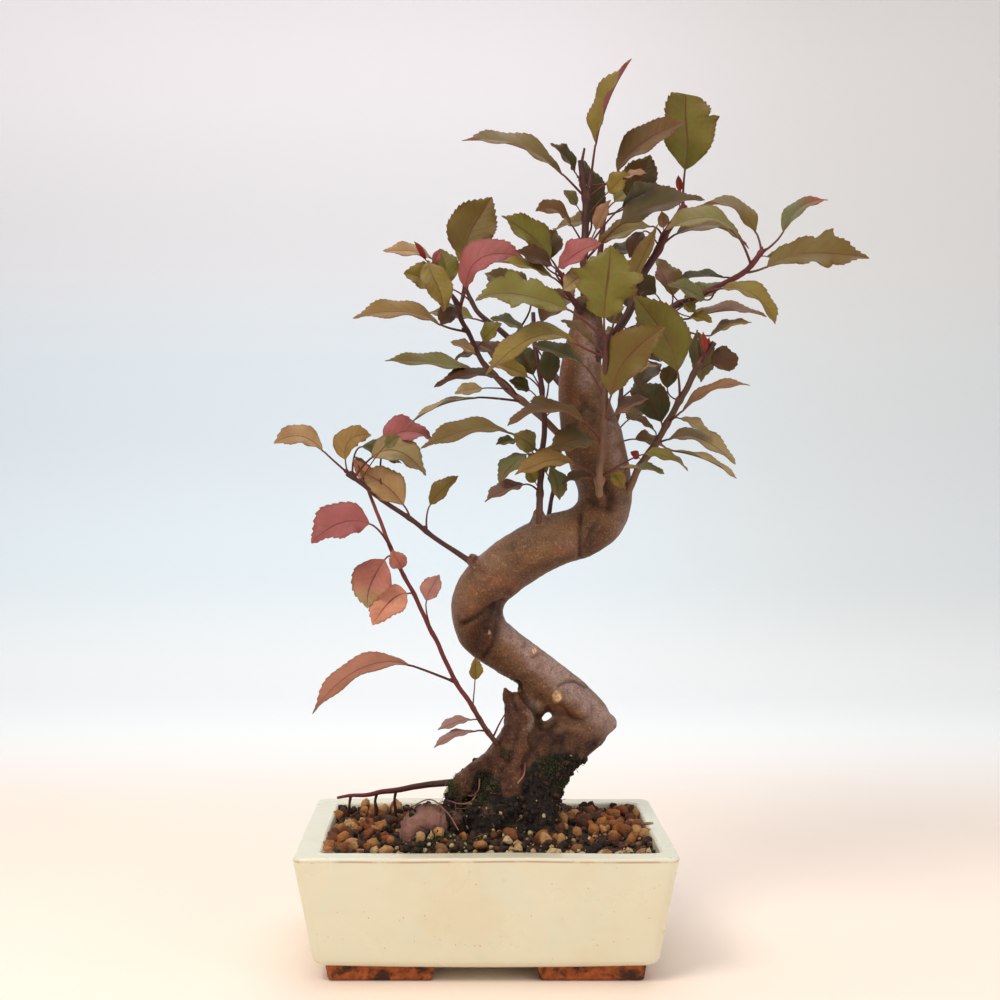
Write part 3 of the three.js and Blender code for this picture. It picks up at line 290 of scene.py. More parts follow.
# Camera at the eye point, level, with the photograph's framing

cameraData = bpy.data.cameras.new("camera")
cameraData.lens = eye["lens"]
cameraData.shift_x = eye["shiftX"]
cameraData.shift_y = eye["shiftY"]
camera = addObject("camera", cameraData)
camera.location = toFrame([[eye["x"], -eye["distance"], eye["z"]]])[0]
camera.rotation_euler = (math.radians(90), 0, 0)
bpy.context.scene.camera = camera

# Studio: pale floor and sweep, soft lights

studio = {
    "floorSize": 6000, "sweepBack": 900, "sweepRadius": 500, "floorColour": (246, 228, 211),
    # what the paper turns to as it rises, in metres: painted light, brighter and tinted the way the light
    # falls across the sweep
    "rise": [((253, 255, 252), 0.0, 0.07), ((238, 248, 250), 0.08, 0.2), ((230, 240, 245), 0.2, 0.4),
             ((238, 238, 240), 0.44, 0.64), ((255, 252, 255), 0.62, 0.95)],
    "rightColour": (230, 227, 219),
    "world": (232, 236, 246), "worldStrength": 0.58,
    "lights": [
        # name, place, aimed at, side length, power, colour
        ("key", (-600, -800, 1200), (0, 0, 180), 600, 13.5, (255, 246, 234)),
        ("fill", (900, -700, 400), (0, 0, 200), 900, 3.6, (255, 246, 236)),
        ("top", (100, 300, 1300), (0, 0, 200), 900, 6.5, (244, 248, 255)),
    ],
}
bpy.context.scene.view_settings.view_transform = "Standard"

world = bpy.data.worlds.new("studio")
world.use_nodes = True
backing = world.node_tree.nodes["Background"]
backing.inputs["Color"].default_value = (*linear(studio["world"]), 1)
backing.inputs["Strength"].default_value = studio["worldStrength"]
bpy.context.scene.world = world

for name, place, aim, side, power, colour in studio["lights"]:
    light = bpy.data.lights.new(name, "AREA")
    light.size = side * 0.001
    light.energy = power
    light.color = linear(colour)
    lamp = addObject(name, light)
    lamp.location = toFrame([place])[0]
    lamp.rotation_euler = Vector(np.subtract(aim, place)).to_track_quat("-Z", "Y").to_euler()


def makeFloor():
    half = studio["floorSize"] / 2
    profile = [(-half, 0), (studio["sweepBack"], 0)]
    for step in range(1, 13):
        turn = math.radians(7.5 * step)
        profile.append((studio["sweepBack"] + studio["sweepRadius"] * math.sin(turn),
                        studio["sweepRadius"] * (1 - math.cos(turn))))
    profile.append((profile[-1][0], half))
    points = [(x, y, z) for x in (-half, half) for y, z in profile]
    count = len(profile)
    faces = [(i, count + i, count + i + 1, i + 1) for i in range(count - 1)]
    floor = addObject("floor", plainMesh("floor", points, faces))
    floor.data.polygons.foreach_set("use_smooth", [True] * len(faces))
    material, shader, place = startMaterial("floorPaper", Roughness=0.85)
    rightward, onward, height = addNode("ShaderNodeSeparateXYZ", {0: place}).outputs
    height = timesPlus(between(onward, 0.1, 0.9), 0.07, height)
    colour = linear(studio["floorColour"])
    # Painted light: up the sweep the paper steps through brighter and tinted tones, standing for how the
    # light falls on it
    for tone, low, high in studio["rise"]:
        colour = blend(between(height, low, high), colour, linear(tone))
    aside = times(between(rightward, 0.0, 0.5), between(height, 0.0, 0.2))
    colour = over(colour, studio["rightColour"], aside, 0.5)
    feed(colour, shader["Base Color"])
    floor.data.materials.append(material)


makeFloor()
print("camera and studio set")

# Pot: one glazed body with unglazed corner feet

pot = {
    "length": 190, "depth": 142, "height": 64.4, "footHeight": 8.8, "taper": 9.5, "corner": 6,
    "edge": 4, "rimLeft": 13, "rimRight": 8.5, "rimFront": 13, "rimBack": 12, "rimRound": 1.6, "floor": 5.4,
    "creaseRun": 1.6, "wallTaper": 7, "cornerSteps": 8, "longSteps": 26, "shortSteps": 18, "sideRings": 16,
    "wallRings": 12, "handmade": 0.45,
    "drainRadius": 9, "drainSpacing": 78, "footStart": 25, "footLength": 55, "footInset": 14,
    "footWidth": 11, "footSideLength": 34, "footSlope": 1.5, "footBevel": 1.3,
    "bow": 1.1,  # how far the body's underside hangs down between the feet
    "glaze": (219, 214, 187), "glazeWarm": (217, 208, 178), "glazeCool": (211, 215, 193),
    "glazeBreak": (158, 112, 84), "speck": (74, 54, 40),
    "clay": (128, 60, 24), "clayDark": (30, 19, 13), "clayPale": (176, 92, 38),
    "footVoxel": 1.1,
}


# One level ring of the pot, with rounded corners and sides cut into steps
def potRing(left, right, front, back, corner, z):
    corner = max(corner, 0.5)
    points = []
    turns = [(right - corner, back - corner, 0), (left + corner, back - corner, 1),
             (left + corner, front + corner, 2), (right - corner, front + corner, 3)]
    for x, y, quarter in turns:
        for step in range(pot["cornerSteps"] + 1):
            angle = (quarter + step / pot["cornerSteps"]) * math.pi / 2
            points.append((x + corner * math.cos(angle), y + corner * math.sin(angle), z))
        nextX, nextY = turns[(quarter + 1) % 4][:2]
        angle = (quarter + 1) * math.pi / 2
        start = np.array(points[-1])
        end = np.array([nextX + corner * math.cos(angle), nextY + corner * math.sin(angle), z])
        count = pot["longSteps"] if quarter in (0, 2) else pot["shortSteps"]
        points.extend(tuple(start + (end - start) * step / count) for step in range(1, count))
    return np.array(points)


def outerRing(z, inset=0.0):
    shrink = pot["taper"] * (pot["height"] - z) / (pot["height"] - pot["footHeight"]) + inset
    length, depth = pot["length"] / 2 - shrink, pot["depth"] / 2 - shrink
    return potRing(-length, length, -depth, depth, pot["corner"] - inset * 0.6, z)


def innerRing(z, inset=0.0):
    floorZ = pot["footHeight"] + pot["floor"]
    shrink = pot["wallTaper"] * (pot["height"] - z) / (pot["height"] - floorZ) + inset
    length, depth = pot["length"] / 2, pot["depth"] / 2
    return potRing(-length + pot["rimLeft"] + shrink, length - pot["rimRight"] - shrink,
                   -depth + pot["rimFront"] + shrink, depth - pot["rimBack"] - shrink,
                   pot["corner"] - 2 - inset * 0.4, z)


# Rings joined by quads, with a face over each end
def ringShell(rings):
    count = len(rings[0])
    points = np.vstack(rings)
    faces = []
    for ring in range(len(rings) - 1):
        for i in range(count):
            a, b = ring * count + i, ring * count + (i + 1) % count
            faces.append((a, b, b + count, a + count))
    faces.append(tuple(reversed(range(count))))
    faces.append(tuple(range(len(points) - count, len(points))))
    return points, faces


def merged(shells):
    points, faces = [], []
    for shellPoints, shellFaces in shells:
        offset = sum(len(p) for p in points)
        points.append(shellPoints)
        faces += [tuple(i + offset for i in face) for face in shellFaces]
    return np.vstack(points), faces


# The slight unevenness of a body made by hand
def handShift(points, amount):
    shift = [noise.noise_vector(Vector(p) * 0.021) + 0.4 * noise.noise_vector(Vector(p) * 0.06)
             for p in points]
    return points + np.array(shift) * amount


def makeGlaze():
    material, shader, place = startMaterial(
        "creamGlaze", Roughness=0.32, Coat_Weight=0.35, Coat_Roughness=0.12, Specular_IOR_Level=0.5)
    cloudy = patches(place, 24.0, 0.4, 0.7, 3.0)
    colour = blend(cloudy, linear(pot["glaze"]), linear(pot["glazeWarm"]))
    cool = patches(added(place, (0.3, 0.1, 0.2)), 36.0, 0.52, 0.68, 2.0)
    colour = over(colour, pot["glazeCool"], cool, 0.5)
    ironSpecks = specks(place, 400.0, 0.16, 0.34)
    colour = over(colour, pot["speck"], ironSpecks, 0.5)
    pinholes = specks(place, 420.0, 0.2, 0.06)
    colour = over(colour, pot["glazeBreak"], pinholes, 0.35)
    worn = patches(place, 60.0, 0.42, 0.56, 6.0)
    broken = times(readValue("crease"), timesPlus(worn, 0.6, 0.22))
    colour = over(colour, pot["glazeBreak"], broken)
    feed(colour, shader["Base Color"])
    soft = clouds(place, 60.0, 2.0)
    feed(between(soft, 0.2, 0.8, 0.24, 0.42), shader["Roughness"])
    wave = bumpOf(shader, soft, 0.0012, 0.5)
    bumpOf(shader, minus(1.0, larger(pinholes, ironSpecks)), 0.0003, 0.7, under=wave)
    return material


def makeClay():
    material, shader, place = startMaterial("bareClay", Roughness=0.9)
    stain = patches(place, 110.0, 0.48, 0.64, 8.0, 0.4)
    colour = blend(patches(place, 300.0, 0.3, 0.7), linear(pot["clay"]), linear(pot["clayPale"]))
    colour = over(colour, pot["clayDark"], stain, 0.9)
    feed(colour, shader["Base Color"])
    bumpOf(shader, clouds(place, 900.0, 3.0), 0.0006, 0.8)
    return material


def makeFoot(signX, signY):
    inner, outer = pot["footStart"], pot["footStart"] + pot["footLength"]
    edge = pot["depth"] / 2 - pot["footInset"]
    back, side = edge - pot["footWidth"], edge - pot["footSideLength"]
    outline = [(inner, back), (outer - pot["footWidth"], back), (outer - pot["footWidth"], side),
               (outer, side), (outer, edge), (inner, edge)]
    points = []
    for z, slope in ((0, pot["footSlope"]), (pot["footHeight"] + 1.2, 0)):
        for i, corner in enumerate(outline):
            before, after = np.array(outline[i - 1]), np.array(outline[(i + 1) % 6])
            inward = unit(np.array([before - corner]))[0] + unit(np.array([after - corner]))[0]
            turn = np.cross(np.append(np.array(corner) - before, 0), np.append(after - corner, 0))[2]
            x, y = np.array(corner) + inward * slope * (1 if turn > 0 else -1)
            points.append((signX * x, signY * y, z))
    faces = [tuple(reversed(range(6))), tuple(range(6, 12))]
    faces += [(i, (i + 1) % 6, (i + 1) % 6 + 6, i + 6) for i in range(6)]
    if signX * signY < 0:
        faces = [tuple(reversed(face)) for face in faces]
    foot = addObject("foot", plainMesh("foot", points, faces))
    bevel = foot.modifiers.new("bevel", "BEVEL")
    bevel.width = pot["footBevel"] * 0.001
    bevel.segments = 3
    cut = foot.modifiers.new("cut", "REMESH")
    cut.mode = "VOXEL"
    cut.voxel_size = pot["footVoxel"] * 0.001
    return settle(foot)


def coat(obj, material):
    obj.data.materials.clear()
    obj.data.materials.append(material)
    obj.data.polygons.foreach_set("material_index", [0] * len(obj.data.polygons))


def makePot():
    bottom, top, edge, bend = pot["footHeight"], pot["height"], pot["edge"], pot["rimRound"]
    floorZ = bottom + pot["floor"]
    rings = [outerRing(bottom, edge * 2.2), outerRing(bottom, edge)]
    for step in range(1, 7):
        turn = math.radians(15 * step)
        rings.append(outerRing(bottom + edge * (1 - math.cos(turn)), edge * (1 - math.sin(turn))))
    sideTop = top - bend - pot["creaseRun"]
    sideHeight = sideTop - bottom - edge
    rings += [outerRing(bottom + edge + sideHeight * step / pot["sideRings"])
              for step in range(1, pot["sideRings"] + 1)]
    rings += [outerRing(sideTop + pot["creaseRun"] * step / 4) for step in range(1, 5)]
    creaseStart = len(rings) - 1
    for step in range(1, 7):
        turn = math.radians(15 * step)
        rings.append(outerRing(top - bend + bend * math.sin(turn), bend * (1 - math.cos(turn))))
    inner, outer = innerRing(top, -bend), rings[-1]
    rings += [outer + (inner - outer) * step / 4 for step in range(1, 5)]
    innerCrease = len(rings) + 1
    for step in range(5, -1, -1):
        turn = math.radians(15 * step)
        rings.append(innerRing(top - bend + bend * math.sin(turn), -bend * (1 - math.cos(turn))))
    wallHeight = floorZ + 3 - top + bend
    rings += [innerRing(top - bend + wallHeight * step / pot["wallRings"])
              for step in range(1, pot["wallRings"] + 1)]
    rings += [innerRing(floorZ + 1, 0.8), innerRing(floorZ, 3)]
    points, faces = ringShell(rings)
    count = len(rings[0])
    shifted = handShift(points, pot["handmade"])
    low = np.clip((points[:, 2] - bottom) / 6, 0, 1)[:, None]
    shifted = points + (shifted - points) * low
    sag = np.clip(1 - (points[:, 0] / 84) ** 2, 0, 1) * np.clip((bottom + 14 - points[:, 2]) / 14, 0, 1)
    shifted[:, 2] -= pot["bow"] * sag
    body = addObject("pot_body", plainMesh("pot_body", shifted, faces))
    crease = np.zeros(len(points))
    for ring, much in ((creaseStart - 1, 0.6), (creaseStart, 1), (creaseStart + 1, 0.3), (innerCrease, 0.7)):
        crease[ring * count:(ring + 1) * count] = much
    storeValues(body.data, "crease", crease)
    drill = body.modifiers.new("drill", "BOOLEAN")
    holes = []
    for x in (-pot["drainSpacing"] / 2, pot["drainSpacing"] / 2):
        ring = [(x + pot["drainRadius"] * math.cos(a), pot["drainRadius"] * math.sin(a))
                for a in np.linspace(0, 2 * math.pi, 40, endpoint=False)]
        holes += [np.array([(px, py, z) for px, py in ring]) for z in (bottom - 5, floorZ + 5)]
    cutter = addObject("cutter", plainMesh("cutter", *merged([ringShell(holes[:2]), ringShell(holes[2:])])))
    drill.object = cutter
    drill.operation = "DIFFERENCE"
    drill.solver = "EXACT"
    settle(body)
    bpy.data.objects.remove(cutter)
    glaze, clay = makeGlaze(), makeClay()
    coat(body, glaze)
    feet = [makeFoot(x, y) for x in (-1, 1) for y in (-1, 1)]
    for foot in feet:
        foot.data.materials.append(clay)
    joinObjects([body, *feet])
    smoothAll(body, 38)
    setPiece(body, ["pot"])


def joinObjects(objects):
    with bpy.context.temp_override(active_object=objects[0], object=objects[0],
                                   selected_objects=objects, selected_editable_objects=objects):
        bpy.ops.object.join()
    return objects[0]


def smoothAll(obj, angle):
    mesh = obj.data
    mesh.polygons.foreach_set("use_smooth", [True] * len(mesh.polygons))
    mesh.set_sharp_from_angle(angle=math.radians(angle))
    mesh.update()


makePot()


# Drain meshes: carried-over screens over the drain holes, seen from below

def makeScreenPlastic():
    material, shader, place = startMaterial("screenPlastic", Roughness=0.6)
    dusty = patches(place, 160.0, 0.45, 0.7)
    feed(blend(dusty, (0.012, 0.013, 0.014), (0.05, 0.04, 0.03)), shader["Base Color"])
    bumpOf(shader, clouds(place, 500.0), 0.0004, 0.4)
    return material


screenPlastic = makeScreenPlastic()
for name in ("drain_mesh_left", "drain_mesh_right"):
    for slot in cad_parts[name].material_slots:
        slot.material = screenPlastic
print("pot made")
# Trunk: limbs from the same stations as the solid, grown together, then marked and wrinkled

trunk = {
    "limb": [
        (10, 22, 0, 17), (11, 42, 0, 25), (13, 58, 0, 27), (15, 70, 0, 24.5), (19, 82, 0, 21.5),
        (26, 93, 1, 18.5), (35, 103, 2, 16), (45, 111.5, 4, 14.2), (53.5, 119.5, 6, 13.4),
        (47, 129, 7, 12.4), (36, 139, 8, 11.8), (23, 149.5, 8, 11.6), (10, 159, 7, 12.2), (0, 167, 4, 13.4),
        (-4, 179, 0, 14), (0, 191, -4, 14), (10, 201, -7, 14), (24, 210, -8, 14), (38, 216, -7, 13.8),
        (52, 220.5, -5, 13.6), (61, 229, -3, 14), (64, 241, -2, 14.2), (61, 256, -1, 15.4),
        (57, 271, 0, 16), (53.5, 286, 0, 14), (51.5, 300, 0, 11.8), (52, 315, 0, 10.2), (54, 328, 0, 9),
        (54, 338, 0, 7), (53, 346, 0, 4.5),
    ],
    "stump": [
        (12, 82, -3, 14), (14, 98, -4, 13.5), (18, 108, -4, 11.5), (20, 117, -3, 10), (18.5, 127, -1, 8.6),
        (16.5, 133, -1, 5), (16.5, 136.5, -1, 1.8),
    ],
    # small stubs and collars: the elbow, the left horn, the sawn stub, the prop under the limb, twig feet
    "stubs": [
        [(50, 113, 5, 9), (60, 117, 6, 7.4), (66, 119, 6, 5), (70, 119.8, 6, 2.8)],
        [(25.2, 121.8, 3, 5), (31.6, 131.9, 6, 5)],
        [(14.5, 127, -1, 4.6), (12, 133, -1, 2.8), (11.4, 138.2, -1, 1.4)],
        [(52.3, 125.5, -3, 6), (45.9, 129.2, -9, 4.6), (39, 133.2, -14.5, 3.1)],
        [(25.7, 119.6, 2, 5), (22.6, 131.3, 3, 4.6), (21, 139.8, 5, 4)],
        [(1.8, 199.3, -8, 6), (-3.5, 203, -11, 4), (-8.8, 207, -12, 2.6)],
        [(28.9, 222.7, -10, 6), (28.9, 227.4, -13, 4), (28.9, 231.7, -17, 2.7)],
        [(63.4, 231.2, -10, 6), (62.4, 236.5, -14, 4.2), (61.3, 241.3, -18, 2.8)],
        [(67.7, 231.2, -4, 7), (70.9, 235.9, -6, 4.4), (75.1, 240.7, -9, 2.9)],
    ],
    "roots": [
        [(8, 99, -2, 8), (-2, 91, -3, 9), (-11, 83, -4, 8.5), (-15, 70, -7, 8), (-18, 54, -10, 5)],
        [(16, 92, -6, 12), (9, 76, -13, 13), (1, 62, -20, 10), (-6, 48, -27, 5)],
        [(20, 90, -4, 12), (25, 76, -12, 11), (30, 62, -18, 8), (36, 48, -24, 4)],
        [(22, 92, 4, 12), (29, 76, 9, 11), (37, 60, 16, 7), (46, 46, 22, 4)],
        [(14, 92, 6, 12), (8, 74, 16, 11), (4, 58, 26, 7), (0, 44, 34, 4)],
        [(-8, 60, -15, 4), (-16, 60, -20, 5), (-23, 64, -24, 7.4), (-30, 67.2, -26, 9.6), (-36.5, 64, -27, 8),
         (-39, 56, -27, 6.4), (-40, 45, -26, 4)],
        [(-30, 46, -26, 8), (-29.5, 58, -26, 9.6), (-29, 66, -26, 8.4)],
        [(-6, 58, -20, 5), (-3.5, 74, -21, 4.4), (1.3, 71.8, -22, 4.2), (4, 56, -22, 4)],
        [(-14, 56, -24, 4.5), (-15.7, 68.7, -26, 4.6), (-10.9, 66.5, -27, 3.8)],
    ],
    "brownLumps": [(-14.6, 69.2), (1.3, 72.4)],
    "voxel": 1.0, "sides": 36, "ringStep": 1.6, "smoothing": 6,
    # where the wood is roughest, and where the smooth root knee lies
    "stumpLine": [(12, 90), (16, 108), (19, 122), (14, 136)],
    "kneeLine": [(-16, 58), (-22, 63), (-30, 66), (-37, 62), (-40, 54), (-30, 54)],
    "clodsFrom": 56, "mossFrom": 58, "earthBehind": 100, "roughBelow": 112,
    # what is pressed into the bark on the side that is seen: line, width, depth in mm, and the painted shade
    # laid in the crease
    "grooves": [
        ([(9.8, 183.4), (2.9, 179.7), (-3.5, 175.4), (-11.4, 171.7)], 1.5, 1.9, 0.8),
        ([(9.3, 181.2), (7.7, 172.7), (6.6, 165.3), (5, 160.5), (-0.3, 153.6)], 1.4, 1.5, 0.75),
        ([(5, 178.6), (1.8, 172.7), (-0.3, 166.4), (-3.5, 158.9)], 5.0, 2.4, 0.45),
        ([(50.7, 230.1), (51, 218.9), (50.7, 207.3)], 1.4, 1.2, 0.8),
        ([(39.6, 138.8), (43.3, 140.9), (48.6, 141.4), (53.9, 138.2)], 0.8, 1.2, 0.6),
        ([(60.3, 226.9), (56, 220), (52.8, 212)], 1.8, 0.8, 0.6),
        ([(55, 237.5), (61.3, 233.3), (69.3, 232.2)], 1.5, 0.9, 0.6),
        ([(64.5, 246), (66.1, 239.7), (66.6, 233.3)], 2.0, 1.2, 0.75),
        ([(16.7, 139.8), (21, 133.4), (26.3, 127.1), (29.5, 121.8)], 1.7, 2.0, 0.85),
        ([(30, 118.6), (38, 111.7), (35.3, 103.7)], 3.6, 2.0, 0.8),
        ([(14.1, 136.6), (14.6, 131.3), (17.2, 125)], 1.5, 1.4, 0.8),
        ([(18.8, 125), (17.2, 112.7), (14.6, 102.1), (7.2, 91)], 1.8, 1.0, 0.6),
        ([(26.8, 115.4), (25.2, 104.8), (21, 95.2)], 1.8, 1.2, 0.7),
        ([(44.3, 107.4), (50.7, 103.7), (58.1, 107.4)], 1.8, 0.8, 0.5),
    ],
    # place, width, height
    "lumps": [
        ((33.7, 110.1), 4.2, 2.4), ((14.6, 87.8), 7, 1.8), ((21.5, 105.8), 3, 1.2), ((12.5, 108.5), 4, 1.2),
        ((49.6, 130.3), 4.6, 1.0), ((64.5, 122.3), 5, 0.9), ((-12, 163.2), 6, 0.9), ((-3.5, 182.3), 9, 0.9),
        ((47.5, 218.4), 3.2, 0.8), ((67.7, 221.6), 7, 0.9), ((61.3, 263), 6, 0.9), ((52.3, 253.5), 4, 0.7),
        ((18.8, 122.8), 3.4, 1.1), ((26, 157.3), 1.7, 1.3), ((17.2, 131.3), 3, 0.9),
        ((-6.7, 207.8), 1.8, 1.1), ((-2.4, 204.1), 1.6, 1.0), ((-0.3, 199.8), 1.5, 0.8),
    ],
    # rings of bark round old bud scars: place, width, height; and pale sawn ends: place, width, tallness
    "collars": [
        ((26.3, 157.3), 2.6, 0.7), ((12.5, 108.5), 2.4, 0.6), ((21.5, 105.8), 2.2, 0.5),
        ((49.6, 128.1), 3.6, 0.6), ((49.6, 128.1), 5.4, 0.5), ((-7.7, 207.8), 2.8, 0.5),
        ((-4, 204.1), 3.2, 0.6), ((61.3, 238.1), 3.4, 0.6), ((72.5, 238.6), 3.4, 0.5),
    ],
    "cuts": [
        ((26, 157.3), 1.2, 1.5), ((3.4, 166.9), 0.6, 0.9), ((38.5, 133.4), 2.3, 3.0),
        ((67.7, 131.3), 0.8, 0.8),
    ],
    # tints laid along lines: line, width in mm, strength
    "tints": {
        # mauve: a painted highlight, a pale sheen along the limbs' lit upper sides
        "mauve": [
            ([(11.9, 174.9), (17.8, 165.3), (27.3, 155.2), (40.1, 144.6), (55, 132.9), (64.5, 119.6)],
             7.2, 1.15),
            ([(-5.6, 204.6), (2.9, 215.2), (14.6, 224.3), (29.5, 228.5)], 3.6, 0.6),
            ([(26.3, 129.2), (24.2, 122.8), (22.6, 116.5)], 2.8, 1.0),
            ([(76.2, 237.5), (73, 221.6)], 5, 0.4), ([(55, 329.9), (56.5, 316.1), (53.9, 300.2)], 4.5, 0.8),
            ([(68.2, 276.8), (70.9, 255.6)], 3.5, 0.7),
        ],
        "rust": [
            ([(-4.5, 190.8), (5.6, 195.1), (15.7, 192.9)], 3.4, 0.8),
            ([(2.4, 162.1), (-1.3, 157.9), (-4.5, 154.2)], 3.0, 0.7),
            ([(-14.1, 178.1), (-3.5, 180.7), (5.6, 183.4)], 2.6, 0.35),
            ([(48.3, 229), (49.1, 218.4), (49.1, 207.8)], 0.9, 1.0),
            ([(39.6, 137.7), (43.3, 139.8), (49.1, 140.4), (54.4, 136.6)], 1.8, 1.4),
            ([(26.3, 157.3), (26.8, 156.3)], 3.0, 0.9), ([(-7.7, 207.8), (-2.4, 202)], 3.4, 0.8),
            ([(40.1, 211), (41.7, 210.5)], 2.2, 0.7),
            ([(33.7, 111.1), (32.1, 107.4), (21.5, 104.8), (10.9, 107.4)], 4.5, 0.6),
            ([(14.6, 131.3), (15.7, 123.4)], 4.5, 0.6), ([(40.1, 128.1), (50.7, 123.9)], 2.0, 0.5),
            ([(42.2, 310.8), (41.1, 292.8), (50.7, 291.7)], 4.5, 0.5),
        ],
        # scar: dark scarred bark on the stump and lower trunk, and painted shade in the pocket at the left
        # bend and the hollow at the right bend
        "scarAndShade": [
            ([(5, 178.1), (1.3, 171.7), (-0.3, 166.4), (-3.5, 158.4)], 5.6, 2.2),
            ([(13, 131.3), (15.7, 115.4), (10.3, 98.4), (14.6, 83.5)], 11.0, 1.6),
            ([(8.2, 98.4), (-3.5, 87.8), (-9.8, 82.5)], 12.0, 1.4),
            ([(61.3, 231.2), (58.1, 213.1)], 6.5, 0.5), ([(52.3, 240.7), (67.7, 237.5)], 4.0, 0.5),
            ([(24.2, 111.1), (40.1, 109), (56, 107.4)], 9.0, 1.1),
            ([(-8.8, 208.9), (-1.3, 200.4)], 2.2, 0.8),
        ],
        "bare": [
            ([(27.3, 128.1), (26.8, 122.8), (25.2, 115.9)], 1.5, 0.9),
        ],
        # dark: partly painted shade, in the pocket under the twisting limb at the left bend, the right bend's
        # crease and under the limbs; partly dark bark
        "dark": [
            ([(6.1, 179.7), (2.9, 174.9), (1.8, 169)], 4.0, 0.85), ([(14.6, 212), (16.7, 205.7)], 4.0, 0.4),
            ([(57.1, 221.6), (56, 211)], 5.0, 0.45), ([(64.5, 242.8), (67.7, 234.9)], 5.0, 0.45),
            ([(38, 116.5), (40.1, 105.8)], 7.0, 0.75), ([(29.5, 115.4), (26.3, 101.6)], 5.0, 0.6),
            ([(45.4, 104.8), (61.3, 106.9)], 5.0, 0.55),
            ([(11.4, 131.3), (12.5, 115.4), (8.2, 101.6)], 3.0, 0.45),
            ([(56, 204.6), (29.5, 202.5), (13.5, 189.7)], 4.0, 0.25),
            ([(13.5, 155.2), (29.5, 131.3), (40.1, 120.7)], 3.6, 0.2),
            ([(48.6, 350.1), (57.1, 348), (55, 339.5)], 5.0, 0.8),
            ([(48.6, 277.9), (52.8, 288.5), (58.1, 284.3), (57.1, 277.9)], 2.6, 0.6),
            ([(48, 242.8), (61.3, 234.9), (74.6, 237.5)], 5.0, 0.35),
        ],
    },
    # the black earthy root mass begins below this line
    "earthLine": [
        (-29, 88.8), (-20.5, 86.7), (-13, 78.2), (-3.5, 93.1), (6.1, 95.7), (10.3, 84.6), (18.3, 80.3),
        (23.1, 97.3), (32.6, 103.7), (43.3, 105.8), (56, 99.5), (66.6, 96.8),
    ],
    # place, reach
    "moss": [
        ((34.2, 96.3), 7), ((2.9, 87.8), 6), ((-18.3, 83.5), 6), ((11.4, 103.2), 3.5), ((42.7, 86.2), 4),
        ((-1.3, 78.2), 4),
    ],
    # Bark tones: the under-bark tone is painted shade for faces turned down, the pale bark tone a painted
    # highlight along lit upper sides, and the black and scar tones dark bark that also serves as painted
    # shade in creases and hollows
    "sheenBark": (160, 132, 124), "bark": (121, 84, 48), "shadedUnderBark": (93, 57, 30),
    "orangeBark": (136, 78, 40), "blackBarkAndShade": (36, 20, 13), "scarAndShadeBark": (88, 47, 25),
    "cutWood": (220, 184, 142), "cutWoodDark": (182, 134, 88), "pinkRoot": (126, 84, 74),
    "pinkRootPale": (144, 102, 90), "pore": (204, 164, 112), "earth": (24, 17, 12), "stain": (62, 40, 28),
    "streak": (70, 44, 28), "bareWood": (152, 134, 114), "pit": (62, 40, 26),
}


def runLength(path):
    return np.linalg.norm(np.diff(path, axis=0), axis=1).sum()


# One limb through its stations, as rings that swell a little round about
def limbShell(stations, sides, step):
    stations = np.array(stations, float)
    middle = seen(stations)
    steps = max(3, int(runLength(middle) / step))
    places = np.linspace(0, 1, steps + 1)
    path = smoothPath(middle, places)
    radius = np.interp(places * (len(stations) - 1), range(len(stations)), stations[:, 3])
    along = unit(np.gradient(path, axis=0))
    across = np.cross((1, 0.2, 0.1), along[0])
    rings = []
    angles = np.linspace(0, 2 * math.pi, sides, endpoint=False)
    for index in range(steps + 1):
        across = across - along[index] * across.dot(along[index])
        across /= np.linalg.norm(across)
        beside = np.cross(along[index], across)
        turned = index * step / 12
        swell = 1 + 0.03 * (np.sin(3 * angles + turned) + 0.6 * np.sin(5 * angles - 1.4 * turned))
        rings.append(path[index] + radius[index] * swell[:, None] * (
            np.cos(angles)[:, None] * across + np.sin(angles)[:, None] * beside))
    return ringShell(rings)


# How near each place is to a line of places, from 0 to 1 at the line
def nearLine(places, line, wide):
    line = np.array(line, float)
    best = np.full(len(places), 1e9)
    for start, end in zip(line[:-1], line[1:]):
        run = end - start
        share = np.clip(((places - start) @ run) / run.dot(run), 0, 1)
        best = np.minimum(best, np.linalg.norm(places - start - share[:, None] * run, axis=1))
    return np.exp(-(best / wide) ** 2)


# How far each place is from one place, in widths
def farFrom(places, at, wide):
    return np.linalg.norm(places - at, axis=1) / wide


# Places that run along the limb, drawn out so that a pattern on them lies in rings across it
def barkRings(points):
    middle = smoothPath(seen(trunk["limb"]), np.linspace(0, 1, 300))
    run = np.concatenate([[0], np.cumsum(np.linalg.norm(np.diff(middle, axis=0), axis=1))])
    nearest = np.concatenate([np.argmin(((part[:, None] - middle[None]) ** 2).sum(axis=2), axis=1)
                              for part in np.array_split(points, 40)])
    along = unit(np.gradient(middle, axis=0))[nearest]
    offset = points - middle[nearest]
    past = (offset * along).sum(axis=1)
    offset -= along * past[:, None]
    return (offset + np.column_stack([run[nearest] + past] * 3) * (2.2, -2.0, 2.4)) * 0.001


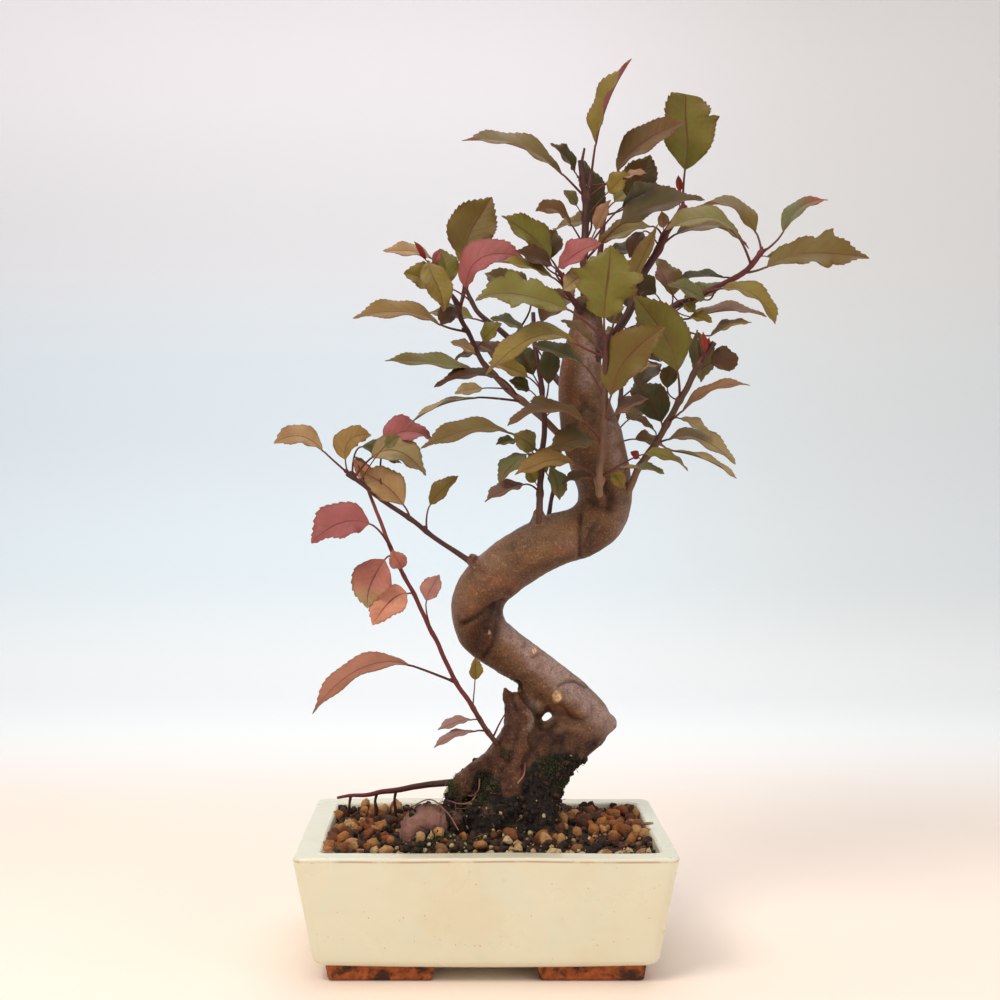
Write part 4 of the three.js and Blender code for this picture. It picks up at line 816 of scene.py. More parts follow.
def makeBark():
    material, shader, place = startMaterial("appleBark", Roughness=0.6, Specular_IOR_Level=0.35)
    # Painted light and shade: faces turned up take the lighter bark tone and faces turned down the darker
    # under-bark tone, broken up by mottling
    facing = addNode("ShaderNodeNewGeometry").outputs["Normal"]
    upward = addNode("ShaderNodeSeparateXYZ", {0: facing}).outputs["Z"]
    mottle = clouds(place, 90.0, 5.0, 0.6)
    light = between(plus(upward, timesPlus(mottle, 1.6, -0.8)), -0.6, 0.5)
    colour = blend(light, linear(trunk["shadedUnderBark"]), linear(trunk["bark"]))
    rusty = larger(times(patches(place, 38.0, 0.5, 0.72, 6.0, 1.0), 0.4), readValue("rust"))
    colour = over(colour, trunk["orangeBark"], rusty)
    # Painted highlight: the pale sheen tone along lit upper sides where the mauve mark lies, and faintly in
    # random pale patches
    paintedSheen = larger(readValue("mauve"), times(patches(place, 30.0, 0.5, 0.68), 0.16))
    colour = over(colour, trunk["sheenBark"], paintedSheen, between(mottle, 0.25, 0.5, 0.55, 1.0))
    colour = over(colour, trunk["stain"], patches(place, 64.0, 0.5, 0.66, 8.0, 1.4), 0.42)
    rings, pink = clouds(readValue("ringPlace", "Vector"), 340.0, 5.0), readValue("pink")
    streaks = times(between(rings, 0.42, 0.66), between(pink, 0.5, 0.0))
    colour = over(colour, trunk["streak"], streaks, 0.22)
    fine = patches(place, 620.0, 0.42, 0.66, 3.0)
    # Fine dark mottle, in the same tone as the painted underside shade
    colour = over(colour, trunk["shadedUnderBark"], fine, 0.28)
    blotches = patches(place, 170.0, 0.3, 0.62, 6.0)
    # Scar tone: dark scarred bark, and painted shade where the scar mark lies in hollows
    scarAndShade, earthy = readValue("scarAndShade"), readValue("earthy")
    colour = over(colour, trunk["scarAndShadeBark"], times(scarAndShade, timesPlus(blotches, 0.4, 0.62), clamp=True))
    colour = over(colour, trunk["bareWood"], readValue("bare"))
    colour = over(colour, trunk["pit"], patches(place, 1300.0, 0.5, 0.64, 2.0), 0.42)
    gilded = times(patches(place, 820.0, 0.56, 0.68, 3.0), 0.46)
    pores = larger(gilded, specks(place, 900.0, 0.32, 0.3))
    colour = over(colour, trunk["pore"], pores, 0.54)
    rosy = blend(between(mottle, 0.35, 0.62), linear(trunk["pinkRoot"]), linear(trunk["pinkRootPale"]))
    colour = blend(pink, colour, rosy)
    # Black tone: painted shade in grooves, hollows and under the limbs, and dark bark, where the dark mark
    # lies
    dark = times(readValue("dark"), timesPlus(blotches, 0.35, 0.72), clamp=True)
    colour = over(colour, trunk["blackBarkAndShade"], dark)
    colour = over(colour, trunk["earth"], times(earthy, timesPlus(blotches, 0.3, 0.75), clamp=True))
    wood = blend(between(clouds(place, 700.0), 0.4, 0.6),
                 linear(trunk["cutWood"]), linear(trunk["cutWoodDark"]))
    colour = blend(readValue("cut"), colour, wood)
    feed(colour, shader["Base Color"])
    rough = timesPlus(larger(dark, earthy), 0.35, 0.48)
    feed(plus(rough, times(fine, 0.1)), shader["Roughness"])
    wrinkle = times(clouds(place, 420.0, 6.0, 0.8), timesPlus(scarAndShade, 3.2, 1.1))
    first = bumpOf(shader, wrinkle, 0.0008, 0.7)
    second = bumpOf(shader, minus(1.0, streaks), 0.0004, 0.35, under=first)
    bumpOf(shader, pores, 0.0003, 0.6, under=second)
    return material


def makeTrunk():
    limbs = [trunk["limb"], trunk["stump"], *trunk["stubs"], *trunk["roots"]]
    points, faces = merged([limbShell(stations, trunk["sides"], trunk["ringStep"]) for stations in limbs])
    wood = addObject("trunk_bark", plainMesh("trunk_bark", points, faces))
    grown = wood.modifiers.new("grown", "REMESH")
    grown.mode = "VOXEL"
    grown.voxel_size = trunk["voxel"] * 0.001
    soften = wood.modifiers.new("soften", "SMOOTH")
    soften.factor = 0.5
    soften.iterations = trunk["smoothing"]
    settle(wood)
    mesh = wood.data
    count = len(mesh.vertices)
    values = np.empty(count * 3)
    mesh.vertices.foreach_get("co", values)
    points = (values.reshape(-1, 3) - potMiddle) * 1000
    mesh.vertices.foreach_get("normal", values)
    normals = values.reshape(-1, 3).copy()
    storeValues(mesh, "ringPlace", barkRings(points), "FLOAT_VECTOR")
    places = lookedAt(points)
    facing = np.clip(0.3 - normals[:, 1] * 1.4, 0, 1)
    coarse = np.array([noise.fractal(Vector(p) * 0.16, 1.0, 2.1, 4) for p in points])
    lift = np.zeros(count)
    cut = np.zeros(count)
    tint = {name: np.zeros(count) for name in trunk["tints"]}
    # Grooves are pressed into the bark, with painted crease shade laid along them in the dark mark
    for line, wide, deep, creaseShade in trunk["grooves"]:
        near = nearLine(places, line, wide) * facing
        lift -= near * deep * (1 + 0.5 * coarse)
        tint["dark"] = np.maximum(tint["dark"], near ** 0.8 * creaseShade)
    for name, rows in trunk["tints"].items():
        for line, wide, much in rows:
            near = nearLine(places, line, wide) * facing * much
            tint[name] = np.maximum(tint[name], np.clip(near * (1 + 0.9 * coarse), 0, 1))
    for at, wide, high in trunk["lumps"]:
        lift += np.exp(-farFrom(places, at, wide) ** 2) * high * facing
    for at, wide, high in trunk["collars"]:
        lift += np.exp(-((farFrom(places, at, wide) - 1) / 0.28) ** 2) * high * facing
    for at, wide, tall in trunk["cuts"]:
        far = np.linalg.norm((places - at) / (wide, tall), axis=1)
        inside = np.clip((1.15 - far) * 4, 0, 1) * facing
        lift += np.exp(-((far - 1.3) / 0.3) ** 2) * facing * 0.3 - inside * 0.3
        cut = np.maximum(cut, inside)
    earthLine = np.array(sorted(trunk["earthLine"]))
    below = np.interp(places[:, 0], earthLine[:, 0], earthLine[:, 1]) - places[:, 1] + 5 * coarse
    behind = trunk["earthBehind"] - points[:, 2] + 7 * coarse
    tint["dark"] = np.maximum(tint["dark"], np.clip(1 + below / 16, 0, 1) * (0.42 + 0.5 * coarse) * facing)
    earthy = np.clip(np.where(normals[:, 1] > 0.25, behind, below) / 3.5, 0, 1)
    low = np.clip((trunk["roughBelow"] - points[:, 2]) / 34, 0, 1)
    stumpNear = nearLine(places, trunk["stumpLine"], 9)
    rough = np.clip(0.22 + low * 1.0 + stumpNear * 0.8, 0, 1.4)
    ridged = np.array([abs(noise.noise(Vector(p))) for p in points * (0.34, 0.34, 0.12)])
    lift += coarse * rough * 1.2 - ridged * np.clip(low + stumpNear, 0, 1) * 2.2
    knee = nearLine(places, trunk["kneeLine"], 9)
    knee *= np.clip((-12 - points[:, 1]) / 8, 0, 1) * np.clip((-18 - points[:, 0]) / 3, 0, 1)
    lumpy = np.maximum(*[np.exp(-farFrom(places, spot, 4.2) ** 4) for spot in trunk["brownLumps"]])
    wave = np.sin(places[:, 0] * 1.5 + coarse * 3) * 0.22
    lift = lift * (1 - 0.8 * knee) + wave * knee
    lift += earthy * (1 - knee) * np.array([noise.noise(Vector(p) * 0.55) for p in points]) * 0.9
    points += normals * lift[:, None]
    mesh.vertices.foreach_set("co", toFrame(points).ravel())
    smooth = np.clip(np.maximum(knee * 1.8, lumpy * facing * 0.45), 0, 1)
    earthy = earthy * (1 - smooth)
    mossy = np.max([np.exp(-farFrom(places, at, wide) ** 2) for at, wide in trunk["moss"]], axis=0)
    above = (points[:, 2] > trunk["mossFrom"]) * (normals[:, 1] < 0.6)
    marks = {name: amount * (1 - smooth) for name, amount in tint.items()}
    marks.update({
        "cut": cut, "earthy": earthy, "pink": np.clip(smooth * (0.85 + 0.5 * coarse), 0, 1),
        "clodShare": earthy * (points[:, 2] > trunk["clodsFrom"]),
        "mossShare": np.clip(mossy * 1.5 - 0.4 + 0.5 * coarse, 0, 1) * above * (mossy > 0.1)})
    for name, amount in marks.items():
        storeValues(mesh, name, amount)
    coat(wood, makeBark())
    smoothAll(wood, 80)
    setPiece(wood, ["trunk"])
    print("trunk made,", count, "points")


makeTrunk()

# Soil: a mounded filling, scattered with clay grains, grit, fibres and moss

soil = {
    "columns": 132, "rows": 96, "edgeZ": 58.6, "moundHeight": 8, "moundX": 14, "moundSpread": 36,
    "backRise": 2, "soilDark": (34, 23, 15), "soilBrown": (74, 48, 30), "fleck": (188, 150, 92),
    # what loose pieces are made of: their tones and roughness
    "coats": {
        "bakedClay": ([(158, 92, 40), (176, 112, 54), (112, 58, 28), (184, 126, 70), (90, 46, 23),
                       (152, 80, 34), (198, 146, 90), (134, 76, 34), (76, 42, 24)], 0.95),
        "paleGrit": ([(204, 166, 112), (176, 132, 84), (214, 184, 134), (146, 98, 58), (190, 148, 96)], 0.9),
        "paleFlecks": ([(196, 180, 118), (210, 196, 150), (168, 144, 92)], 0.9),
        "soilCrumb": ([(44, 29, 19), (66, 42, 26), (32, 22, 15), (88, 54, 32), (26, 18, 12), (54, 34, 21),
                       (100, 62, 36)], 0.95),
        "rootThread": ([(84, 40, 28), (50, 29, 20), (110, 62, 42), (150, 104, 78), (60, 32, 22)], 0.8),
        "moss": ([(72, 96, 30), (26, 40, 12), (92, 104, 38), (48, 62, 20)], 0.85),
        "rootEarth": ([(22, 15, 10), (36, 24, 16), (15, 11, 8), (52, 34, 22), (28, 19, 12),
                       (70, 46, 30)], 1.0),
    },
    # where each kind lies, as (x, y, reach in mm, share)
    "clay": [(-78, 8, 26, 1.2), (-72, -30, 20, 1.1), (-60, 36, 22, 1), (66, 6, 27, 1.3), (52, 34, 22, 1.1),
             (80, 34, 18, 1.1), (34, -34, 7, 0.5)],
    "grit": [(-74, -49, 16, 1.2), (-48, -51, 12, 0.9), (-22, -52, 14, 0.8), (10, -52, 16, 1.3),
             (40, -51, 14, 1), (68, -50, 12, 0.7), (58, -18, 8, 0.6), (-64, 14, 14, 0.4), (20, -46, 8, 0.6)],
    "flecks": [(2, -28, 34, 1.3), (-26, -42, 16, 1.3), (30, -40, 24, 0.9), (-24, -10, 24, 0.8),
               (0, 30, 40, 0.6)],
    # heaps of soil, as (x, y, reach, height)
    "heaps": [(-32, -41, 10, 8), (-19, -37, 9, 6.5), (4, -31, 12, 3), (34, -22, 9, 2.5), (-44, -30, 7, 2)],
    "moss": [(-22, -38, 9, 1), (-32, -43, 8, 1), (-12, -42, 6, 0.8), (44, -8, 5, 0.9), (36, -24, 5, 0.9),
             (-6, -46, 4, 0.7), (-14, 12, 8, 0.8), (24, 36, 9, 0.8)],
}
# what the numbers of each kind of loose piece set
scatterInputs = {"grains": ("Density", "Smallest", "Largest", "Sink", "Seed"),
                 "threads": ("Density", "Length", "Rise", "Seed"), "moss": ("Density", "Seed")}
# loose pieces: kind, coat, the points they lie on, then the kind's numbers, sizes in metres
scatterJobs = {
    "soil_clayGrains": ("grains", "bakedClay", "top", 68000.0, 0.002, 0.0082, 0.12, 4),
    "soil_paleGrit": ("grains", "paleGrit", "top", 36000.0, 0.0018, 0.0062, 0.1, 9),
    "soil_paleFlecks": ("grains", "paleFlecks", "top", 48000.0, 0.0009, 0.0032, 0.0, 15),
    "soil_soilCrumbs": ("grains", "soilCrumb", "top", 130000.0, 0.0011, 0.0046, 0.14, 23),
    "soil_threads": ("threads", "rootThread", "top", 20000.0, 0.007, 0.3, 31),
    "soil_moss": ("moss", "moss", "top", 4500000.0, 40),
    "rootClods": ("grains", "rootEarth", "clodShare", 170000.0, 0.0007, 0.0036, 0.5, 28),
    "rootThreads": ("threads", "rootThread", "clodShare", 26000.0, 0.009, 0.1, 52),
    "rootFlecks": ("grains", "paleFlecks", "clodShare", 9000.0, 0.0009, 0.0028, 0.3, 71),
    "rootMoss": ("moss", "moss", "mossShare", 2600000.0, 60),
}


def soilHeight(x, y):
    fromTrunk = np.hypot(x - soil["moundX"], y) / soil["moundSpread"]
    height = soil["edgeZ"] + soil["moundHeight"] * np.exp(-fromTrunk ** 2)
    height += soil["backRise"] * (y / pot["depth"] + 0.5) + 0.8 * np.sin(x * 0.31) * np.cos(y * 0.27)
    rough = [noise.fractal(Vector((px * 0.11, py * 0.11, 3)), 1.0, 2.2, 5) for px, py in zip(x, y)]
    for cx, cy, reach, high in soil["heaps"]:
        height += high * np.exp(-(np.hypot(x - cx, y - cy) / reach) ** 2)
    return height + 1.5 * np.array(rough)


def makeSoilMaterial():
    material, shader, place = startMaterial("darkSoil", Roughness=0.95)
    lumps = patches(place, 240.0, 0.35, 0.7, 8.0)
    colour = blend(lumps, linear(soil["soilDark"]), linear(soil["soilBrown"]))
    flecks = specks(place, 700.0, 0.35, 0.12)
    colour = over(colour, soil["fleck"], flecks, 0.7)
    feed(colour, shader["Base Color"])
    bumpOf(shader, clouds(place, 900.0, 8.0), 0.002)
    return material


# One material for loose pieces, whose tone is picked from a few by each piece's own number
def makeGrainMaterial(name, tones, roughness):
    material, shader, place = startMaterial(name, Roughness=roughness)
    ramp = addNode("ShaderNodeValToRGB", {0: readValue("pick")})
    ramp.color_ramp.interpolation = "CONSTANT"
    stops = ramp.color_ramp.elements
    while len(stops) < len(tones):
        stops.new(0.5)
    for index, tone in enumerate(tones):
        stops[index].position = index / len(tones)
        stops[index].color = (*linear(tone), 1)
    cloud = patches(place, 420.0, 0.35, 0.7, 5.0)
    colour = blend(times(cloud, 0.45), ramp.outputs[0], (0.05, 0.03, 0.018))
    feed(colour, shader["Base Color"])
    bumpOf(shader, clouds(place, 1400.0, 4.0), 0.0012)
    return material


# A geometry node tree with named inputs, and the modifier that runs it

def geometryTree(name, sizes):
    tree = work["tree"] = bpy.data.node_groups.new(name, "GeometryNodeTree")
    tree.interface.new_socket("Geometry", in_out="INPUT", socket_type="NodeSocketGeometry")
    for label, value in sizes.items():
        kind = {bpy.types.Material: "Material", int: "Int"}.get(type(value), "Float")
        socket = tree.interface.new_socket(label, in_out="INPUT", socket_type="NodeSocket" + kind)
        socket.default_value = value
    tree.interface.new_socket("Geometry", in_out="OUTPUT", socket_type="NodeSocketGeometry")
    return tree, addNode("NodeGroupInput").outputs, addNode("NodeGroupOutput").inputs["Geometry"]


def runTree(obj, tree, sizes):
    modifier = obj.modifiers.new(tree.name, "NODES")
    modifier.node_group = tree
    for item in tree.interface.items_tree:
        if item.in_out == "INPUT" and item.name in sizes:
            modifier[item.identifier] = sizes[item.name]
    return settle(obj)


# A geometry node by the end of its type's name; its first output, from which the others are reached
def geo(kind, inputs=None, **settings):
    return addNode("GeometryNode" + kind, inputs, **settings).outputs[0]


def field(name, kind="FLOAT"):
    return geo("InputNamedAttribute", {"Name": name}, data_type=kind)


def vectorField(name):
    return field(name, "FLOAT_VECTOR")


def storeField(geometry, name, value, kind="FLOAT", domain="POINT", selection=None):
    inputs = {"Geometry": geometry, "Name": name, "Value": value, "Selection": selection}
    return geo("StoreNamedAttribute", inputs, data_type=kind, domain=domain)


def randomField(low, high, seed):
    return addNode("FunctionNodeRandomValue", {2: low, 3: high, 8: seed}, data_type="FLOAT").outputs[1]


def randomVector(low, high, seed):
    return addNode("FunctionNodeRandomValue", {0: low, 1: high, 8: seed}, data_type="FLOAT_VECTOR").outputs[0]


def upBy(height):
    return addNode("ShaderNodeCombineXYZ", {"Z": height}).outputs[0]


def joined(parts):
    whole = geo("JoinGeometry")
    for part in parts:
        feed(part, whole.node.inputs[0])
    return whole


def setMaterial(geometry, material, smooth=True):
    shaded = geo("SetShadeSmooth", {"Geometry": geometry, "Shade Smooth": smooth})
    return geo("SetMaterial", {"Geometry": shaded, "Material": material})


# Points over the faces, as many as the stored share asks for
def scatterPoints(given):
    return geo("DistributePointsOnFaces", {
        "Mesh": given["Geometry"], "Density": times(given["Density"], field("share")),
        "Seed": given["Seed"]}, distribute_method="RANDOM")


def placeOn(points, shape, turn, scale, pick=False):
    return geo("InstanceOnPoints", {
        "Points": points, "Instance": shape, "Pick Instance": pick, "Rotation": turn, "Scale": scale})


# Real geometry from what stands on the points, each with its own pick for the colours
def realised(instances):
    picked = storeField(instances, "pick", randomField(0.0, 1.0, 77), domain="INSTANCE")
    return geo("RealizeInstances", {"Geometry": picked})


# Lumps of four shapes, sunk a little into the face
def makeGrainTree(material):
    tree, given, result = geometryTree("grains", {
        "Density": 20000.0, "Smallest": 0.003, "Largest": 0.006, "Sink": 0.2, "Seed": 1,
        "Material": material})
    points = scatterPoints(given)
    shapes = []
    for variant in range(4):
        ball = geo("MeshIcoSphere", {"Radius": 0.5, "Subdivisions": 2})
        spot = geo("InputPosition")
        bumps = clouds(added(spot, (variant * 3.7, variant * 1.9, 0.0)), 1.7, 2.5)
        swell = scaled(spot, timesPlus(bumps, 1.9, -0.9))
        shapes.append(geo("GeometryToInstance", {0: geo("SetPosition", {"Geometry": ball, "Offset": swell})}))
    chance = calc("POWER", randomField(0.0, 1.0, given["Seed"]), 2.0)
    size = timesPlus(chance, minus(given["Largest"], given["Smallest"]), given["Smallest"])
    stretch = randomVector((0.8, 0.65, 0.6), (1.25, 1.0, 0.95), 5)
    turn = randomVector((0.0, 0.0, 0.0), (6.28, 6.28, 6.28), 6)
    placed = placeOn(points, joined(shapes), turn, scaled(stretch, size), pick=True)
    seated = geo("TranslateInstances", {
        0: placed, "Translation": upBy(times(size, minus(0.5, given["Sink"]))), "Local Space": False})
    feed(setMaterial(realised(seated), given["Material"]), result)
    return tree


# Bent threads of four shapes, as thin tubes
def makeThreadTree(material):
    tree, given, result = geometryTree("threads", {
        "Density": 9000.0, "Length": 0.008, "Thickness": 0.00014, "Rise": 0.3, "Seed": 1,
        "Material": material})
    points = scatterPoints(given)
    shapes = []
    for variant in range(4):
        line = geo("CurvePrimitiveLine", {"Start": (-0.5, 0.0, 0.0), "End": (0.5, 0.0, 0.0)})
        cut = geo("ResampleCurve", {"Curve": line, "Count": 8})
        moved = added(geo("InputPosition"), (variant * 5.1, 0.0, variant * 2.3))
        wander = addNode("ShaderNodeTexNoise", {"Vector": moved, "Scale": 2.2}).outputs["Color"]
        offset = scaled(calcVector("SUBTRACT", wander, (0.5, 0.5, 0.5)), 0.9)
        shapes.append(geo("GeometryToInstance", {0: geo("SetPosition", {"Geometry": cut, "Offset": offset})}))
    turn = randomVector((-0.5, -0.5, 0.0), (0.5, 0.5, 6.28), 8)
    length = times(given["Length"], randomField(0.4, 1.5, 12))
    placed = placeOn(points, joined(shapes), turn, length, pick=True)
    lifted = geo("TranslateInstances", {
        0: placed, "Translation": upBy(times(length, given["Rise"])), "Local Space": False})
    ring = geo("CurvePrimitiveCircle", {"Resolution": 4, "Radius": given["Thickness"]})
    tube = geo("CurveToMesh", {"Curve": realised(lifted), "Profile Curve": ring, "Fill Caps": True})
    feed(setMaterial(tube, given["Material"]), result)
    return tree


# Small upright leaves, leaning all ways
def makeMossTree(material):
    tree, given, result = geometryTree("moss", {
        "Density": 300000.0, "Height": 0.0014, "Width": 0.0005, "Seed": 1, "Material": material})
    points = scatterPoints(given)
    leafShape = geo("MeshCone", {
        "Vertices": 4, "Side Segments": 2, "Radius Top": 0.05, "Radius Bottom": 0.5, "Depth": 1.0})
    lean = randomVector((-0.7, -0.7, 0.0), (0.7, 0.7, 6.28), 3)
    tilt = addNode("FunctionNodeRotateRotation", {
        "Rotation": points.node.outputs["Rotation"], "Rotate By": lean}, rotation_space="LOCAL").outputs[0]
    height = times(given["Height"], randomField(0.5, 1.3, 14))
    scale = addNode("ShaderNodeCombineXYZ", {"X": given["Width"], "Y": given["Width"], "Z": height})
    placed = placeOn(points, leafShape, tilt, scale.outputs[0])
    feed(setMaterial(realised(placed), given["Material"]), result)
    return tree


# Where each kind of grain lies, from 0 up, over the top of the soil
def soilShares(points):
    x, y = points[:, 0], points[:, 1]
    wander = np.array([noise.noise(Vector((px * 0.09, py * 0.09, 8))) for px, py in points[:, :2]])
    clearOfTrunk = np.clip((np.hypot((x - 12) / 1.15, y) - 20) / 6, 0, 1)
    shares = {}
    for kind in ("clay", "grit", "flecks", "moss"):
        near = [much * np.exp(-(np.hypot(x - cx, y - cy) / reach) ** 4) for cx, cy, reach, much in soil[kind]]
        shares[kind] = np.clip(np.max(near, axis=0) * (1 + 0.9 * wander), 0, 1.4)
    bare = np.clip(1 - shares["clay"], 0, 1)
    return {
        "soil_clayGrains": (shares["clay"] + 0.04) * clearOfTrunk,
        "soil_paleGrit": (shares["grit"] + 0.03) * clearOfTrunk,
        "soil_paleFlecks": shares["flecks"] * clearOfTrunk,
        "soil_soilCrumbs": 0.25 + 0.75 * bare,
        "soil_threads": (0.1 + 0.9 * bare) * clearOfTrunk,
        "soil_moss": np.clip(shares["moss"] * 1.3 - 0.3, 0, 1),
    }


def makeSoil():
    inner = innerRing(soil["edgeZ"])
    low, high = inner.min(axis=0) + 0.15, inner.max(axis=0) - 0.15
    columns, rows = soil["columns"], soil["rows"]
    gridX, gridY = np.meshgrid(
        np.linspace(low[0], high[0], columns + 1), np.linspace(low[1], high[1], rows + 1))
    corner = pot["corner"] - 2
    x, y = gridX.ravel(), gridY.ravel()
    for signX, edgeX in ((-1, low[0]), (1, high[0])):
        for signY, edgeY in ((-1, low[1]), (1, high[1])):
            cx, cy = edgeX - signX * corner, edgeY - signY * corner
            out = ((x - cx) * signX > 0) & ((y - cy) * signY > 0)
            far = np.hypot(x - cx, y - cy)
            square = np.maximum(np.abs(x - cx), np.abs(y - cy))
            pull = np.where(out & (far > 0), square / np.maximum(far, 1e-6), 1)
            x, y = np.where(out, cx + (x - cx) * pull, x), np.where(out, cy + (y - cy) * pull, y)
    top = np.column_stack([x, y, soilHeight(x, y)])
    starts = [row * (columns + 1) + column for row in range(rows) for column in range(columns)]
    topFaces = [(a, a + 1, a + columns + 2, a + columns + 1) for a in starts]
    border = list(range(columns))
    border += [(columns + 1) * (row + 1) - 1 for row in range(rows)]
    border += [(columns + 1) * (rows + 1) - 1 - i for i in range(columns)]
    border += [(columns + 1) * (rows - row) for row in range(rows)]
    floorZ = pot["footHeight"] + pot["floor"] + 1.6
    shrink = 1 - pot["wallTaper"] * 0.93 / 80
    base = top[border] * (shrink, 1 - pot["wallTaper"] * 0.93 / 56, 0) + (0, 0, floorZ)
    base[:, 0] += (1 - shrink) * (low[0] + high[0]) / 2
    first, around = len(top), len(border)
    faces = topFaces + [(border[(i + 1) % around], a, first + i, first + (i + 1) % around)
                        for i, a in enumerate(border)]
    faces.append(tuple(reversed(range(first, first + around))))
    ground = addObject("soil_filling", plainMesh("soil_filling", np.vstack([top, base]), faces))
    ground.data.materials.append(makeSoilMaterial())
    smoothAll(ground, 60)
    setPiece(ground, ["soil"])
    coats = {name: makeGrainMaterial(name, tones, roughness)
             for name, (tones, roughness) in soil["coats"].items()}
    makers = {"grains": makeGrainTree, "threads": makeThreadTree, "moss": makeMossTree}
    trees = {kind: make(coats["moss"]) for kind, make in makers.items()}
    shares = soilShares(top)
    for name, (kind, coatName, source, *numbers) in scatterJobs.items():
        if source == "top":
            carrier = addObject(name, plainMesh(name, top, topFaces))
            share = shares[name]
        else:
            carrier = addObject(name, bpy.data.objects["trunk_bark"].data.copy())
            share = np.empty(len(carrier.data.vertices))
            carrier.data.attributes[source].data.foreach_get("value", share)
        storeValues(carrier.data, "share", share)
        sizes = dict(zip(scatterInputs[kind], numbers))
        runTree(carrier, trees[kind], {**sizes, "Material": coats[coatName]})
        setPiece(carrier, [])
        print(name, "made,", len(carrier.data.polygons), "faces")


makeSoil()

# Leafy stems: blades grown along their ribs, and stems, stalks and buds as tubes along their paths

tones = {
    "olive": (104, 98, 34), "lime": (108, 103, 39), "lightOlive": (112, 106, 56),
    "darkGreen": (50, 54, 20), "darkOlive": (68, 58, 22), "gold": (126, 108, 42), "tan": (160, 126, 84),
    "beige": (154, 134, 90), "beigePink": (142, 106, 76), "pink": (150, 80, 78), "rose": (170, 104, 90),
    "duskPink": (170, 120, 110), "tanOlive": (136, 106, 52), "duskBrown": (160, 104, 80),
    "salmon": (204, 138, 110), "mauve": (110, 80, 62), "brown": (98, 72, 34), "brownOlive": (104, 86, 36),
    "darkBrown": (70, 48, 26), "greyGreen": (98, 98, 56), "orangeBrown": (142, 92, 44),
    "budRed": (132, 38, 34), "stalkPink": (90, 37, 30), "stemDark": (76, 42, 37), "stemBrown": (104, 74, 57),
    "stemRed": (105, 40, 38), "stemOrange": (140, 58, 46), "stemBeige": (134, 102, 80),
    "cutPale": (190, 160, 124), "greyPink": (156, 118, 108), "rust": (150, 66, 44), "blush": (100, 56, 32),
    "earthy": (48, 30, 22), "hairRoot": (168, 120, 96), "twigPore": (196, 160, 132),
}
# outlines: half width along the blade, for a plain, a lobed and a broad-ended leaf
blade = {
    "fold": 21, "arch": 0.07, "twist": 14, "sway": 0.02, "lift": 0.03, "ribPoints": 14, "toneShift": 0.16,
    "toothRun": 2.5, "fewestTeeth": 7, "mostTeeth": 18,
    "stalkRun": 7, "elbowAlong": 0.55, "elbowDroop": 0.35, "stalkThick": 0.5, "ribThick": 0.34,
    # a bud at a leaf's foot: the shortest leaf that has one, its start and length in mm, and its radii
    "budFrom": 16, "budOut": 1.3, "budLength": 2.6, "budRadii": [0.7, 0.95, 0.9, 0.7, 0.4, 0.08],
    # stems, in mm: their steps, how far they wander, how much and how near they swell at a leaf's foot
    "stemStep": 1.3, "wander": 0.7, "swell": 0.16, "swellReach": 1.7,
    "outline": [(0, 0.02), (0.06, 0.26), (0.15, 0.58), (0.28, 0.86), (0.42, 1.0), (0.56, 0.96), (0.7, 0.78),
                (0.82, 0.5), (0.91, 0.25), (0.96, 0.12), (1, 0.0)],
    "lobed": [(0, 0.02), (0.07, 0.3), (0.18, 0.52), (0.25, 0.5), (0.34, 0.74), (0.43, 0.86), (0.47, 0.76),
              (0.56, 0.98), (0.62, 1.0), (0.66, 0.64), (0.76, 0.6), (0.83, 0.42), (0.92, 0.2), (1, 0.0)],
    "broad": [(0, 0.03), (0.11, 0.33), (0.29, 0.66), (0.49, 0.88), (0.6, 0.95), (0.66, 1.0), (0.68, 0.68),
              (0.8, 0.73), (0.91, 0.64), (0.965, 0.48), (0.99, 0.26), (1, 0.04)],
    "sizes": {"Blade columns": 15, "Blade thickness": 0.00036, "Tooth depth": 0.0008, "Ruffle": 0.0011,
              "Quilting": 0.0002, "Vein pairs": 8.0, "Cup": 0.1, "Twig sides": 10},
}
shoot = {
    "bareStations": [
        (-8, 86, -4, 2), (-17, 87, 2, 1.9), (-29, 86.5, 9, 1.7), (-50, 83, 21, 1.5), (-78, 79.5, 37, 0.8)],
    "rootlets": [
        [(-71, 80.4, 33, 0.9), (-71.5, 76, 34, 0.7), (-72.4, 71, 35, 1.1), (-72, 66, 35, 0.9),
         (-73, 60, 35, 0.5)],
        [(-57, 82.1, 25, 0.9), (-58, 78, 26, 0.7), (-57.4, 72, 27, 1.2), (-59, 67, 27, 1),
         (-58, 60, 27, 0.5)],
        [(-47, 83.6, 19.3, 0.9), (-48, 78, 20, 0.7), (-47.6, 72, 21, 1), (-49, 60, 21, 0.5)]],
    "hairRoots": [
        [(-12, 83, -9, 0.5), (-7, 80, -12, 0.45), (-3, 84, -14, 0.45), (-2.5, 90, -12, 0.4)],
        [(-20, 78, -14, 0.45), (-14, 76, -17, 0.45), (-8, 77, -18, 0.45), (-4.5, 81, -16, 0.4)],
        [(21.5, 98, -16, 0.5), (21, 92, -19, 0.45), (17.5, 87, -21, 0.4)],
        [(-40, 74, -28, 0.35), (-28, 78, -32, 0.35), (-20, 72, -33, 0.35), (-14, 62, -34, 0.3)]],
    # a bit of dry twig that lies on the rim
    "dryBit": [(84, 65.6, -9, 0.7), (86.6, 65.9, -9, 0.9), (89.6, 66.1, -8, 0.6)],
}


# One leaf: its base and tip as seen with their depths, width, roll, tones of both sides, and its foot
# on the stem; more may be a place it bends via, its fold, lobes, broad end or the tone of its end
def leaf(x, z, y, tipX, tipZ, tipY, wide, roll, upper, lower, footX, footZ, **more):
    return {"base": (x, z, y), "tip": (tipX, tipZ, tipY), "wide": wide, "roll": roll, "upper": upper,
            "lower": lower, "foot": (footX, footZ), **more}


